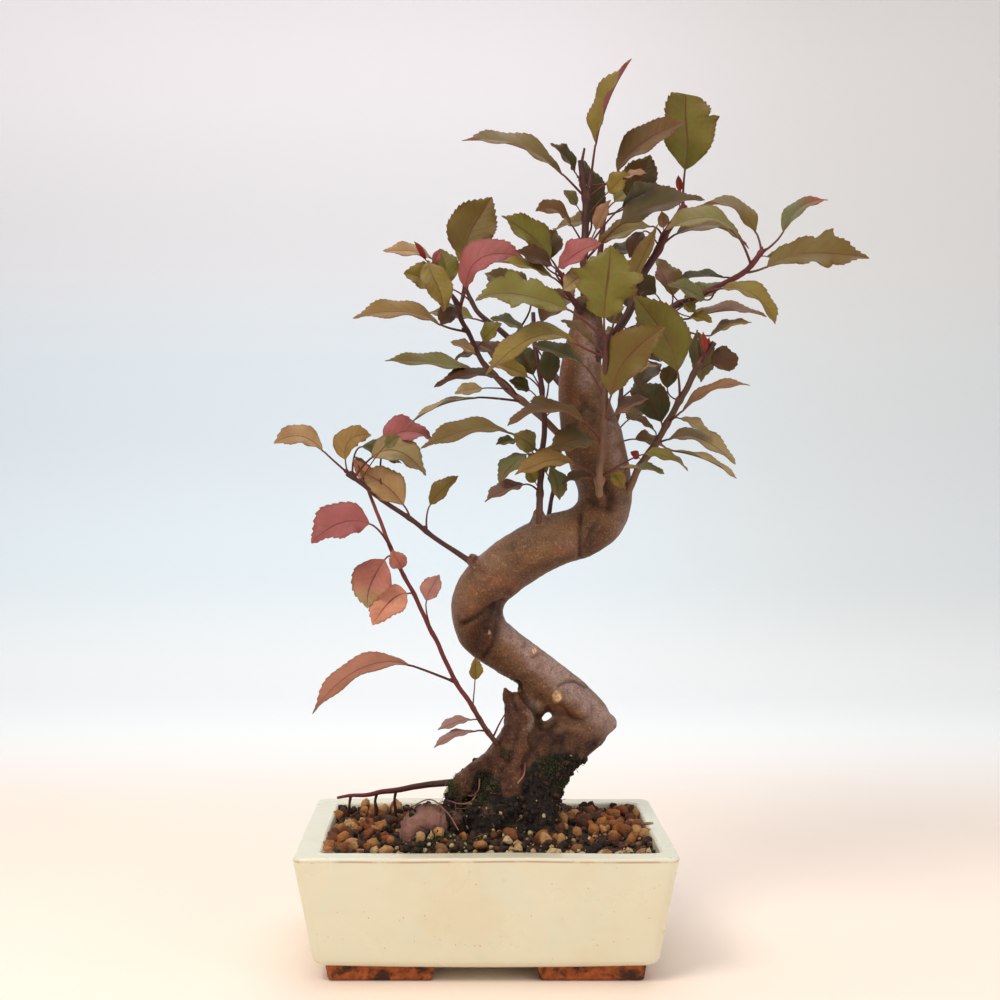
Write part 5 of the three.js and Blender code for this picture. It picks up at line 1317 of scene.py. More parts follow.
# Leafy stems: their stations as (x, z, y, radius), and their leaves
sprays = {}
sprays["apex_spray"] = dict(tones="stemBrown stemDark stemDark", stems=[
    [(53, 334, 0, 2.6), (53, 350, 0, 2.2), (53, 362, 1, 2.1), (53, 378, 2, 2), (54, 395, 3, 2),
     (52, 410, 3, 1.8), (51, 418, 3, 1.6)],
    [(53.5, 392, 3, 1.6), (55.5, 402, 2.5, 1.5), (57, 411, 2, 1.4)],
    [(51, 414, 3, 0.9), (52, 419, 3, 0.8), (53, 424, 3, 0.6)],
], leaves=[
    leaf(59, 427, -3, 78, 472, -14, 26, 70, "gold", "pink", 57, 408, via=(65, 448), fold=28),
    leaf(41, 411, -4, -12, 428.5, -18, 25, 57, "brownOlive", "beigePink", 51, 398, via=(17, 425.5)),
    leaf(48, 412, 0, 35, 427, -8, 16, 55, "darkGreen", "beigePink", 52, 405),
    leaf(57, 384, 10, 53, 418, 15, 18, 40, "darkGreen", "olive", 53, 376),
    leaf(49, 394, -3, 42, 402, -9, 8, 30, "greyGreen", "beige", 53.5, 388),
    leaf(46, 384, -8, 27, 391, -18, 14, 50, "brown", "beige", 53, 372, via=(37, 392)),
    leaf(59, 381, -4, 67, 397, -10, 10, 40, "beigePink", "beigePink", 53, 371),
    leaf(65.5, 401, -5, 77, 411, -12, 13, 30, "gold", "beige", 54, 387),
    leaf(73, 408, -10, 86, 411, -15, 10, 60, "beigePink", "pink", 57, 404),
    leaf(70.5, 412, 2, 107, 438.5, -2, 21, 44, "brown", "mauve", 56, 398, via=(84, 428)),
    leaf(73, 393, 2, 99, 399, -2, 24, 38, "darkGreen", "greyGreen", 53, 369),
    leaf(72, 384, -9, 117, 397, -16, 24, 48, "darkOlive", "mauve", 53, 364, via=(95, 395)),
])
sprays["upper_right_spray"] = dict(tones="stemDark stemDark stemRed", stems=[
    [(57, 310, 4, 2.9), (66, 322, 9, 2.4), (75, 334, 12, 2.3), (86, 360, 15, 2.1), (92, 370, 15.5, 2),
     (97, 380, 16, 1.9), (106, 394, 16, 1.6)],
], leaves=[
    leaf(106.5, 413, 15, 107, 453, 11, 37, 6, "olive", "beige", 105.5, 393, lobes=0.7, broad=1),
    leaf(103.5, 401, 16, 103, 410, 16, 4, 0, "budRed", "budRed", 104, 391),
    leaf(102, 379, 18, 140.5, 371, 26, 20, 60, "brownOlive", "mauve", 92, 369, via=(122, 383)),
    leaf(95, 382, 11, 94, 391, 6, 7, 10, "beigePink", "beigePink", 96, 377),
    leaf(88, 383, 19, 60, 374, 24, 18, 55, "gold", "beige", 95, 375),
    leaf(84, 380, 10, 77, 366, 5, 11, 30, "darkBrown", "mauve", 93, 371),
])
sprays["right_spray"] = dict(tones="stemDark stemDark stemRed", stems=[
    [(56, 306, -3, 2.4), (64, 319, -9, 1.8), (75, 326.5, -14, 1.8), (88, 331, -17, 1.7),
     (100, 340, -18, 1.6), (110, 344, -18, 1.5), (120, 349, -18, 1.4), (130, 354, -18, 1.4),
     (141, 361, -18, 1.3), (148, 370, -18, 1.3)],
], leaves=[
    leaf(144, 380, -15, 110, 391, -4, 19, 60, "brownOlive", "beigePink", 147, 369, via=(130, 394)),
    leaf(135, 377, -26, 96, 381, -40, 20, 54, "lightOlive", "beige", 141, 362, via=(119, 387)),
    leaf(150, 361.5, -21, 204.5, 366, -32, 28, 42, "brownOlive", "beige", 137, 357, via=(175, 369), lobes=1),
    leaf(150, 367, -15, 159, 364, -12, 8, 50, "gold", "beige", 144, 364),
    leaf(158.5, 380, -16, 182.5, 397, -10, 12, 52, "greyGreen", "beigePink", 147, 369,
         via=(166, 392), end="rust"),
    leaf(126, 350, -24, 154.5, 331, -36, 19, 50, "gold", "beigePink", 117, 347, via=(143, 347)),
    leaf(108, 334, -14, 150, 335, -8, 18, 74, "beigePink", "beigePink", 90, 332, via=(130, 338)),
    leaf(120, 325, -12, 142, 332, -16, 14, 68, "beige", "beige", 92, 334),
    leaf(127, 356, -10, 101, 354, 0, 14, 72, "darkGreen", "greyGreen", 133, 355.5),
    leaf(117, 344, -24, 97, 352, -31, 14, 42, "greyGreen", "beige", 122, 350),
    leaf(106, 342, -22, 112, 337, -24, 7, 20, "olive", "beige", 102, 341),
    leaf(109, 335, -20, 121, 332, -25, 10, 45, "gold", "beige", 100, 339),
    leaf(91, 347, -9, 79, 356, -13, 13, 30, "darkOlive", "mauve", 96, 337),
    leaf(98, 350, -6, 92, 361, 0, 11, 20, "mauve", "mauve", 104, 342),
    leaf(69, 333, -20, 92, 384, -28, 16, 60, "brownOlive", "beige", 66, 321, via=(79, 358)),
])
sprays["front_spray"] = dict(tones="stemBeige stemBeige stemBrown stemBrown stemDark", stems=[
    [(62, 236, -12, 2.3), (61, 244, -22, 2), (61, 252, -27, 1.9), (62, 262, -31, 1.8),
     (63, 270, -34, 1.7), (64, 285, -39, 1.6), (64, 300, -43, 1.5), (64, 326, -49, 1.3)],
], leaves=[
    leaf(63.5, 334, -51, 67, 373, -55, 38, 5, "lime", "beige", 64, 324, lobes=1),
    leaf(44, 339, -51, -5, 343.5, -58, 30, 44, "lime", "beige", 62.5, 322, via=(18, 347), lobes=1),
    leaf(48, 321, -47, 0.5, 304, -56, 20, 56, "gold", "beigePink", 63.5, 313, via=(27, 324)),
    leaf(57, 322, -40, 40.5, 333, -32, 13, 62, "brown", "mauve", 64, 314),
    leaf(67, 293, -45, 96, 329.5, -60, 26, 35, "brownOlive", "beige", 64, 277, via=(77, 315)),
    leaf(53, 309, -36, 25, 320, -32, 15, 60, "greyGreen", "beige", 64, 290),
    leaf(69, 283, -40, 87, 291.5, -46, 14, 58, "mauve", "beigePink", 64, 277),
    leaf(53, 279, -37, 12, 277, -44, 17, 64, "brown", "beigePink", 62.5, 267, via=(34, 286.5)),
    leaf(58, 270, -35, 35, 265, -42, 20, 50, "darkOlive", "beigePink", 62, 261),
    leaf(48, 256.5, -31, 16, 251, -39, 17, 55, "tanOlive", "beige", 61, 249, via=(33, 258)),
    leaf(85, 262, -38, 103, 258, -44, 12, 58, "olive", "mauve", 61.5, 249),
    leaf(72, 254.5, -30, 95.5, 251.5, -42, 13, 80, "greyGreen", "beige", 61, 248),
    leaf(68, 252, -24, 74, 244, -27, 9, 15, "gold", "beige", 61, 247),
    leaf(57, 251, -25, 41, 246, -28, 12, 62, "brown", "mauve", 61, 246),
])
sprays["lower_right_spray"] = dict(tones="stemBeige stemBrown stemBrown stemDark", stems=[
    [(68, 232, -3, 2.6), (75, 240, -8, 2), (78, 246, -12, 1.9), (84, 258, -16, 1.8),
     (92, 270, -20, 1.7), (98, 280, -22, 1.7), (104, 291, -24, 1.7), (110, 302, -26, 1.6),
     (116, 313, -28, 1.6), (122, 321.5, -29, 1.5)],
], leaves=[
    leaf(102.5, 306, -30, 79, 346.5, -36, 26, 12, "olive", "beige", 104, 290, via=(93, 329)),
    leaf(113, 327, -20, 115, 300, -14, 16, 20, "greyGreen", "beige", 114, 310),
    leaf(120, 310, -27, 135, 313, -24, 15, 20, "darkBrown", "mauve", 111, 304),
    leaf(117, 316, -32, 116, 327, -34, 3.6, 5, "budRed", "budRed", 113.5, 309),
    leaf(117, 316, -31, 119.5, 324, -30, 2.8, 25, "budRed", "stemRed", 113.5, 309),
    leaf(105, 285, -29, 141, 298.5, -38, 13, 68, "beigePink", "beige", 98, 278, via=(122, 297)),
    leaf(94, 279, -12, 80, 301, -2, 21, 15, "darkGreen", "greyGreen", 91, 268),
    leaf(90, 275, -24, 75, 281.5, -26, 10, 62, "brown", "mauve", 87, 263),
    leaf(104, 281, -26, 120, 271, -29, 12, 58, "beige", "beige", 97, 277),
    leaf(98, 270, -22, 133.5, 256.5, -30, 17, 58, "beige", "greyGreen", 90, 267, via=(115, 270)),
    leaf(100, 264, -30, 134, 249, -40, 12, 76, "beige", "greyGreen", 88, 264),
    leaf(95, 262, -18, 108, 253, -14, 9, 66, "beige", "beige", 86, 261),
    leaf(97, 297, -16, 99, 310, -10, 10, 15, "darkOlive", "mauve", 104, 290),
    leaf(82, 260, -22, 77.5, 263, -24, 5, 20, "budRed", "budRed", 82, 254),
])
sprays["left_upright_spray"] = dict(tones="stemBrown stemDark stemDark stemDark", stems=[
    [(29, 222, -12, 2.1), (29, 229, -17, 1.9), (29.5, 245, -19, 1.6), (30.5, 262, -19, 1.5),
     (31.5, 280, -18, 1.4), (30.5, 295, -16, 1.3), (28.5, 308, -14, 1.3), (27, 317, -12, 1.3),
     (26, 337, -9, 1.1)],
], leaves=[
    leaf(13, 273.5, -25, -34, 265, -36, 18, 60, "brownOlive", "beige", 30.5, 261, via=(-8, 274.5)),
    leaf(17, 269, -22, 6, 267, -26, 8, 50, "greyGreen", "beige", 30.2, 257),
    leaf(27, 265, -23, 15, 272.5, -29, 13, 20, "lightOlive", "beige", 30, 256),
    leaf(22, 262, -22, 7.5, 247, -30, 15, 52, "greyGreen", "beige", 30, 252),
    leaf(21, 246, -23, 0, 236.5, -32, 14, 58, "mauve", "mauve", 29.5, 241),
    leaf(27, 247, -22, 22, 255, -25, 8, 15, "olive", "beige", 29.5, 242),
    leaf(35, 255, -21, 40, 237.5, -25, 13, 40, "greyGreen", "beige", 30, 249),
    leaf(35, 289, -20, 24, 290, -24, 8, 50, "brownOlive", "beige", 31.5, 282),
    leaf(23, 303, -18, 2, 310.5, -25, 14, 46, "gold", "beige", 30.5, 295),
    leaf(26, 304, -10, 17, 320, -5, 13, 20, "darkGreen", "greyGreen", 30, 297),
    leaf(24, 296, -18, 13, 301, -23, 10, 40, "darkGreen", "greyGreen", 31, 288),
    leaf(34, 299, -20, 37, 322, -17, 12, 20, "darkGreen", "greyGreen", 31.5, 286),
])
sprays["small_spur"] = dict(tones="stemBrown stemDark", stems=[
    [(33, 222, 0, 1.6), (34, 229, 1, 1.3), (35, 236, 2, 1.1), (37, 245, 4, 0.94)],
], leaves=[
    leaf(33, 252, 2, 23, 262, 4, 12, 45, "olive", "beige", 36, 241),
    leaf(37, 254, 6, 38, 270, 10, 11, 30, "brown", "mauve", 37, 244),
])
sprays["left_spray"] = dict(tones="stemBrown stemBrown stemDark stemDark", stems=[
    [(50, 264, 3, 2.2), (41, 271, 7, 1.9), (30, 282, 10, 1.9), (20, 290, 12, 1.8), (10, 299, 13, 1.6),
     (3, 306, 13, 1.5), (-3, 314, 13, 1.4), (-7, 322, 13, 1.3), (-12, 333, 13, 1.3),
     (-15, 342, 13, 1.3), (-20, 349, 11, 1), (-25, 356, 9, 0.89)],
    [(-13, 336, 13, 1.2), (-13, 341, 14, 1), (-11, 348, 16, 0.89)],
], leaves=[
    leaf(-10, 350, 7, 20.5, 366.5, 0, 23, 42, "pink", "beigePink", -13.5, 340, via=(-2, 366)),
    leaf(-10, 366, 17, 4, 398.5, 22, 28, 10, "brownOlive", "beigePink", -11.5, 346, via=(-6, 383)),
    leaf(-24, 352, 3, -43, 358, -4, 18, 35, "gold", "greyGreen", -14, 342),
    leaf(-30, 364, -4, -21.5, 337.5, -15, 17, 20, "gold", "beige", -24.5, 355),
    leaf(-19, 352, 15, -24, 371, 20, 16, 15, "olive", "beige", -15, 343),
    leaf(-28, 366, 10, -54, 370, 5, 13, 52, "tan", "beigePink", -25, 355),
    leaf(-31, 365, 5, -37.5, 375, 2, 3.5, 20, "budRed", "budRed", -24.5, 355),
    leaf(-27, 363, 2, -23, 371, 0, 5, 10, "pink", "pink", -24.5, 355),
    leaf(-24, 331, 8, -70, 334, -4, 20, 58, "tanOlive", "beige", -10, 326, via=(-45, 338)),
    leaf(-16, 340, 2, -23, 330, -3, 12, 20, "darkBrown", "mauve", -12.5, 334),
    leaf(-1, 322, 9, 9, 331.5, 5, 13, 40, "olive", "mauve", -5, 318),
    leaf(-5, 315, 8, -18, 321.5, 3, 11, 55, "tan", "beige", 0, 309),
    leaf(-5, 306, 8, -53, 311.5, -4, 17, 61, "lightOlive", "beige", 5, 304, via=(-28, 311)),
    leaf(7, 303, 4, -27, 297.5, -6, 16, 62, "darkBrown", "mauve", 18, 291.5, via=(-8, 303.5)),
    leaf(-1, 297, -7, -16, 294, -12, 9, 40, "beige", "beige", 12, 297),
    leaf(-5, 292, 1, -40, 278, -10, 11, 76, "beige", "greyGreen", 20, 290, via=(-24, 287.5)),
])
sprays["low_left_spray"] = dict(tones="stemBeige" + " stemDark" * 6, stems=[
    [(-3, 201.5, -11, 2), (-10.5, 207, -13, 1.6), (-20, 213, -14, 1.3), (-31, 221, -15, 1.3),
     (-42, 229, -18, 1.3), (-55, 238, -21, 1.2), (-65, 246, -23, 1.1), (-73, 252, -25, 1.1)],
], leaves=[
    leaf(-86, 264, -30, -112, 267.5, -36, 15, 48, "tan", "orangeBrown", -72.5, 251.5, via=(-99, 271.5)),
    leaf(-74, 259, -27, -60, 272, -21, 16, 40, "tanOlive", "beige", -72, 251, via=(-71, 270)),
    leaf(-60, 260, -20, -31, 250.5, -12, 20, 46, "beige", "greyGreen", -69, 249, via=(-46, 263.5)),
    leaf(-65, 266, -13, -44, 257, -4, 14, 50, "greyGreen", "beige", -70, 250),
    leaf(-53, 268, -9, -28, 270.5, 1, 21, 45, "pink", "pink", -55, 238, via=(-41, 274)),
    leaf(-53, 266, -25, -45, 271.5, -29, 7, 20, "greyGreen", "beige", -66, 247),
    leaf(-43, 235, -18, -66, 253, -17, 20, 30, "tan", "orangeBrown", -39, 227, via=(-55, 247)),
    leaf(-61, 247, -17, -69, 261, -14, 8, 40, "gold", "beige", -58, 241),
    leaf(-29, 235, -17, -14, 250.5, -21, 12, 38, "brownOlive", "beige", -31, 221),
])
sprays["red_sucker"] = dict(tones="stemBrown stemRed stemRed stemRed stemOrange", stems=[
    [(7, 107.5, -9, 1.4), (2, 114, -15, 1.4), (-5, 125, -19, 1.3), (-10, 133, -21, 1.3),
     (-16, 142, -22, 1.2), (-22, 155, -24, 1.2), (-30, 172, -26, 1.2), (-38, 189, -28, 1.1),
     (-44, 200, -30, 1.1), (-49, 210, -29, 1.1), (-55, 225, -22, 1), (-60, 239, -15, 0.9),
     (-62, 246, -12, 0.7)],
    [(4, 111, -13, 0.6), (7, 117, -15, 0.45), (11, 124, -17, 0.35)],
], leaves=[
    leaf(-61, 225, -40, -92, 214.5, -50, 25, 38, "pink", "salmon", -50, 212, via=(-77, 225)),
    leaf(-53, 206, -33, -62, 180, -40, 22, 8, "rose", "salmon", -47, 206, via=(-60, 194), end="beige"),
    leaf(-44, 201, -33, -49, 211, -37, 10, 5, "rose", "salmon", -42, 196),
    leaf(-60.5, 245, -13, -70, 259.5, -20, 9, 30, "salmon", "tan", -61, 243),
    leaf(-41, 188, -30, -59.5, 171, -44, 20, 25, "salmon", "salmon", -38, 188, via=(-50, 184)),
    leaf(-31, 184, -28, -24, 198, -30, 12, 30, "duskPink", "pink", -28, 167),
    leaf(-40, 150, -28, -91.5, 124, -44, 17, 56, "duskBrown", "darkOlive", -16, 141, via=(-66, 148.5)),
    leaf(-5, 142, -25, -5, 154, -27, 8, 20, "gold", "beige", -6, 127),
    leaf(-7, 121, -23, -25, 115.5, -28, 9, 66, "greyPink", "duskPink", -2.5, 121),
    leaf(-5, 115, -25, -27, 106, -36, 9, 72, "greyPink", "pink", 2, 114),
])
sprays["shoulder_spray"] = dict(tones="stemDark stemRed", stems=[
    [(54, 332, -3, 2), (48, 342, -8, 1.5), (43, 350, -11, 1.3), (41, 358, -13, 1.1)],
], leaves=[
    leaf(35, 366, -12, 9, 388.5, -19, 22, 40, "olive", "beige", 41.5, 356, via=(22, 380)),
    leaf(32, 365, -2, 38, 381, 3, 15, 15, "darkOlive", "mauve", 41.5, 356),
    leaf(36, 362, -18, 17, 370, -25, 14, 42, "darkBrown", "mauve", 43, 350),
    leaf(36, 356, -18, 7, 364, -28, 15, 58, "gold", "orangeBrown", 44, 348),
    leaf(39, 361, -22, 62, 374, -30, 19, 46, "pink", "duskPink", 42, 352),
    leaf(42, 349, -20, 55, 359, -26, 13, 35, "beige", "beige", 47, 343),
])
sprays["back_top_spray"] = dict(tones="stemDark stemRed", stems=[
    [(54, 326, 4, 2.3), (57, 340, 16, 2), (60, 358, 28, 1.8), (62, 376, 36, 1.6), (64, 392, 42, 1.3)],
], leaves=[
    leaf(78, 396, 40, 88, 421, 36, 22, 15, "darkOlive", "mauve", 64, 389),
    leaf(58, 386, 44, 36, 380, 56, 18, 60, "brownOlive", "beige", 62, 374),
    leaf(69, 396, 50, 86, 404, 64, 18, 40, "olive", "beige", 64, 390),
    leaf(66, 370, 36, 88, 366, 46, 17, 60, "darkOlive", "mauve", 60, 358),
    leaf(60, 395, 50, 50, 410, 62, 17, 35, "brownOlive", "beigePink", 63.5, 388),
])
sprays["back_left_spray"] = dict(tones="stemDark stemDark", stems=[
    [(48, 292, 6, 2.4), (38, 302, 22, 2), (24, 314, 34, 1.8), (10, 326, 44, 1.7), (-4, 338, 52, 1.4),
     (-10, 350, 56, 1.1)],
], leaves=[
    leaf(24, 343, 38, 0, 358, 46, 22, 30, "brownOlive", "mauve", 14, 323),
    leaf(22, 326, 28, 3, 334, 22, 15, 65, "greyGreen", "beige", 36, 304),
    leaf(12, 312, 32, -4, 320, 30, 14, 40, "mauve", "mauve", 27, 311),
    leaf(-8, 358, 62, -3, 388, 70, 20, 25, "olive", "beige", -10, 349),
    leaf(-18, 350, 58, -38, 353, 68, 16, 62, "brownOlive", "beigePink", -7, 343),
    leaf(-6, 334, 60, -32, 336, 74, 17, 60, "olive", "beige", 4, 331),
    leaf(6, 318, 50, -16, 312, 62, 17, 62, "darkOlive", "mauve", 16, 321),
    leaf(30, 332, 44, 48, 350, 54, 18, 40, "brown", "beigePink", 20, 317),
])
sprays["back_right_spray"] = dict(tones="stemDark stemDark", stems=[
    [(56, 296, 6, 2.4), (66, 306, 22, 2), (76, 316, 34, 1.8), (86, 326, 44, 1.6), (98, 336, 54, 1.3)],
], leaves=[
    leaf(92, 309, 20, 75, 303.5, 14, 12, 66, "beige", "greyGreen", 74, 314),
    leaf(94, 312, 28, 82, 323, 24, 14, 25, "darkOlive", "mauve", 79, 318),
    leaf(106, 341, 56, 128, 352, 62, 17, 50, "olive", "beige", 98, 335),
    leaf(100, 346, 58, 92, 366, 66, 18, 30, "brownOlive", "beigePink", 97, 334),
    leaf(84, 336, 48, 68, 354, 58, 19, 35, "darkOlive", "mauve", 84, 324),
    leaf(96, 322, 50, 116, 316, 62, 17, 60, "olive", "beige", 86, 325),
    leaf(74, 330, 40, 56, 338, 50, 16, 55, "brown", "mauve", 74, 314),
])
sprays["back_low_spray"] = dict(tones="stemBrown stemDark", stems=[
    [(63, 258, 10, 2.4), (67, 268, 26, 1.9), (70, 280, 40, 1.7), (72, 292, 50, 1.4), (73, 302, 56, 1.1)],
], leaves=[
    leaf(62, 284, 46, 46, 290, 62, 18, 60, "darkOlive", "mauve", 69, 275),
    leaf(72, 310, 60, 66, 330, 70, 19, 30, "olive", "beige", 73, 301),
    leaf(76, 280, 40, 92, 288, 52, 17, 55, "brownOlive", "beigePink", 68, 271),
    leaf(80, 298, 58, 94, 310, 70, 17, 45, "darkOlive", "mauve", 72, 291),
    leaf(60, 266, 32, 50, 258, 50, 16, 62, "olive", "beige", 66, 264),
    leaf(80, 270, 34, 98, 264, 46, 16, 62, "brown", "mauve", 66.5, 266),
])


def toneOf(name):
    return np.array(linear(tones[name]))


def toneRun(names, places):
    table = np.array([toneOf(name) for name in names.split()])
    spots = np.linspace(0, 1, len(table))
    return np.column_stack([np.interp(places, spots, table[:, i]) for i in range(3)])


# Paths gathers polylines with their values at each point, and makes one mesh of edges of them
class Paths:
    fields = {
        **dict.fromkeys(("part", "rings"), "INT"),
        **dict.fromkeys(("thick", "wide", "teeth", "fold", "lobes", "broad", "long", "seed"), "FLOAT"),
        **dict.fromkeys(("up", "tone", "lower", "end"), "FLOAT_VECTOR")}

    def __init__(self):
        self.points, self.edges = [], []
        self.values = {name: [] for name in self.fields}

    def add(self, points, **values):
        first = len(self.points)
        self.points.extend(points)
        self.edges.extend((first + i, first + i + 1) for i in range(len(points) - 1))
        for name, kind in self.fields.items():
            blank = (0, 0, 0) if kind == "FLOAT_VECTOR" else 0
            value = np.asarray(values.get(name, blank), float)
            flat = value.ndim == (1 if kind == "FLOAT_VECTOR" else 0)
            self.values[name].extend([value] * len(points) if flat else list(value))

    def toObject(self, name):
        mesh = plainMesh(name, np.array(self.points), [], self.edges)
        for field, kind in self.fields.items():
            storeValues(mesh, field, np.array(self.values[field]), kind)
        return addObject(name, mesh)


# A blade's base, control point, tip, facing and length, from where it is seen and its roll
def bladeFrame(row):
    base, tip = seen([row["base"], row["tip"]])
    axis = tip - base
    length = np.linalg.norm(axis)
    axis /= length
    facing = unit(np.array([[0, -1, 0]]) + axis * axis[1])[0]
    upward = np.cross(facing, axis)
    upward *= 1 if upward[2] >= 0 else -1
    roll = math.radians(row["roll"])
    normal = facing * math.cos(roll) + upward * math.sin(roll)
    if "via" in row:
        middle = seen([(*row["via"], (row["base"][2] + row["tip"][2]) / 2)])[0]
    else:
        middle = (base + tip) / 2 + normal * blade["arch"] * length
    control = 2 * middle - (base + tip) / 2
    return base, control, tip, normal, length


# A leaf's blade, then its stalk and rib as one tube, and the bud at its foot
def addLeaf(paths, row, stemPaths, draw):
    base, control, tip, normal, length = bladeFrame(row)
    t = np.linspace(0, 1, blade["ribPoints"])[:, None]
    rib = (1 - t) ** 2 * base + 2 * t * (1 - t) * control + t ** 2 * tip
    along = unit(np.gradient(rib, axis=0))
    up = unit(normal - along * (along @ normal)[:, None])
    side = np.cross(along, up)
    sway = blade["sway"] * length * (draw.random() * 2 - 1)
    rib = rib + side * sway * np.sin(2 * math.pi * t) \
        + up * (draw.random() - 0.6) * blade["lift"] * length * np.sin(math.pi * t) ** 2
    turn = np.radians(blade["twist"]) * (draw.random() * 2 - 1) * 2 * (t - 0.35)
    up = up * np.cos(turn) + side * np.sin(turn)
    teeth = int(np.clip(round(length / blade["toothRun"]), blade["fewestTeeth"], blade["mostTeeth"]))
    upper, lower = toneOf(row["upper"]), toneOf(row["lower"])
    shift = 1 + (draw.random() - 0.5) * blade["toneShift"]
    end = toneOf(row["end"]) if "end" in row else upper * 0.82 + toneOf("blush") * 0.18
    paths.add(rib, part=1, rings=teeth * 4 + 1, wide=row["wide"] * 0.001, teeth=teeth, long=length * 0.001,
              fold=math.radians(row.get("fold", blade["fold"])), lobes=row.get("lobes", 0),
              broad=row.get("broad", 0), seed=draw.random() * 6, up=up, tone=upper * shift,
              lower=lower * shift, end=end)

    start = unit(rib[1:2] - rib[0:1])[0]
    back = base - start * blade["stalkRun"]
    footSeen = np.array(row["foot"])
    away = [np.linalg.norm(lookedAt(path) - footSeen, axis=1) for path in stemPaths]
    nearest = min(range(len(away)), key=lambda index: away[index].min())
    stem = stemPaths[nearest]
    foot = stem[np.argmin(away[nearest])]
    elbow = foot + (base - foot) * blade["elbowAlong"]
    elbow = elbow + (back - elbow) * blade["elbowDroop"]
    s = np.linspace(0, 1, 9)[:-1, None]
    control = 2 * elbow - (foot + base) / 2
    stalk = (1 - s) ** 2 * foot + 2 * s * (1 - s) * control + s ** 2 * base
    keel = rib[:-1] - up[:-1] * 0.3
    size = float(np.clip((length / 30) ** 0.5, 0.55, 1.15))
    stalkThick = np.linspace(1.25, 0.95, len(stalk)) * blade["stalkThick"] * size
    stalkThick[0] *= 1.5
    ribThick = np.linspace(0.95 * blade["stalkThick"] / blade["ribThick"], 0.3, len(keel))
    thick = np.concatenate([stalkThick, ribThick * blade["ribThick"] * size]) * 0.001
    places = np.linspace(0, 1, len(stalk) + len(keel))[:, None]
    stalkTone = toneOf("stalkPink") * (1 - places * 0.5) + lower * 0.5 * places
    paths.add(np.vstack([stalk, keel]), part=0, thick=thick, tone=stalkTone)

    away = unit(stalk[3:4] - foot)[0]
    if length > blade["budFrom"]:
        stemRun = unit(np.gradient(stem, axis=0))[np.argmin(np.linalg.norm(stem - foot, axis=1))]
        lean = unit((away * 0.5 + stemRun)[None])[0]
        radii = np.array(blade["budRadii"])
        bud = foot + away * blade["budOut"] + lean * np.linspace(0, blade["budLength"], len(radii))[:, None]
        paths.add(bud, part=0, thick=radii * 0.001, tone=toneOf("stemRed") * 0.7)
    return foot


# A stem, swollen a little at the feet of its leaves, with a pale disc where it is cut
def addStem(paths, stations, names, feet=(), cutEnd=False):
    stations = np.array(stations, float)
    middle = seen(stations)
    places = np.linspace(0, 1, max(6, int(runLength(middle) / blade["stemStep"])))
    path = smoothPath(middle, places)
    thick = np.interp(places * (len(stations) - 1), range(len(stations)), stations[:, 3])
    wander = np.array([noise.noise_vector(Vector(p) * 0.09) for p in path]) * blade["wander"]
    path = path + wander * np.clip(places * 6, 0, 1)[:, None]
    for foot in feet:
        near = np.exp(-farFrom(path, foot, blade["swellReach"]) ** 2)
        thick = thick * (1 + blade["swell"] * near)
    paths.add(path, part=0, thick=thick * 0.001, tone=toneRun(names, places))
    if cutEnd:
        along = unit(path[-1:] - path[-3:-2])[0]
        disc = path[-1] + along * np.array([0, 0.12])[:, None]
        paths.add(disc, part=0, thick=np.array([thick[-1] * 0.86] * 2) * 0.001, tone=toneOf("cutPale"))
    return path


def curveField(value, spots):
    node = addNode("ShaderNodeFloatCurve", {"Value": value})
    curve = node.mapping.curves[0]
    while len(curve.points) < len(spots):
        curve.points.new(0.5, 0.5)
    for point, spot in zip(curve.points, spots):
        point.location, point.handle_type = spot, "AUTO_CLAMPED"
    node.mapping.update()
    return node.outputs[0]


def mixField(factor, first, second):
    return plus(times(first, minus(1.0, factor)), times(second, factor))


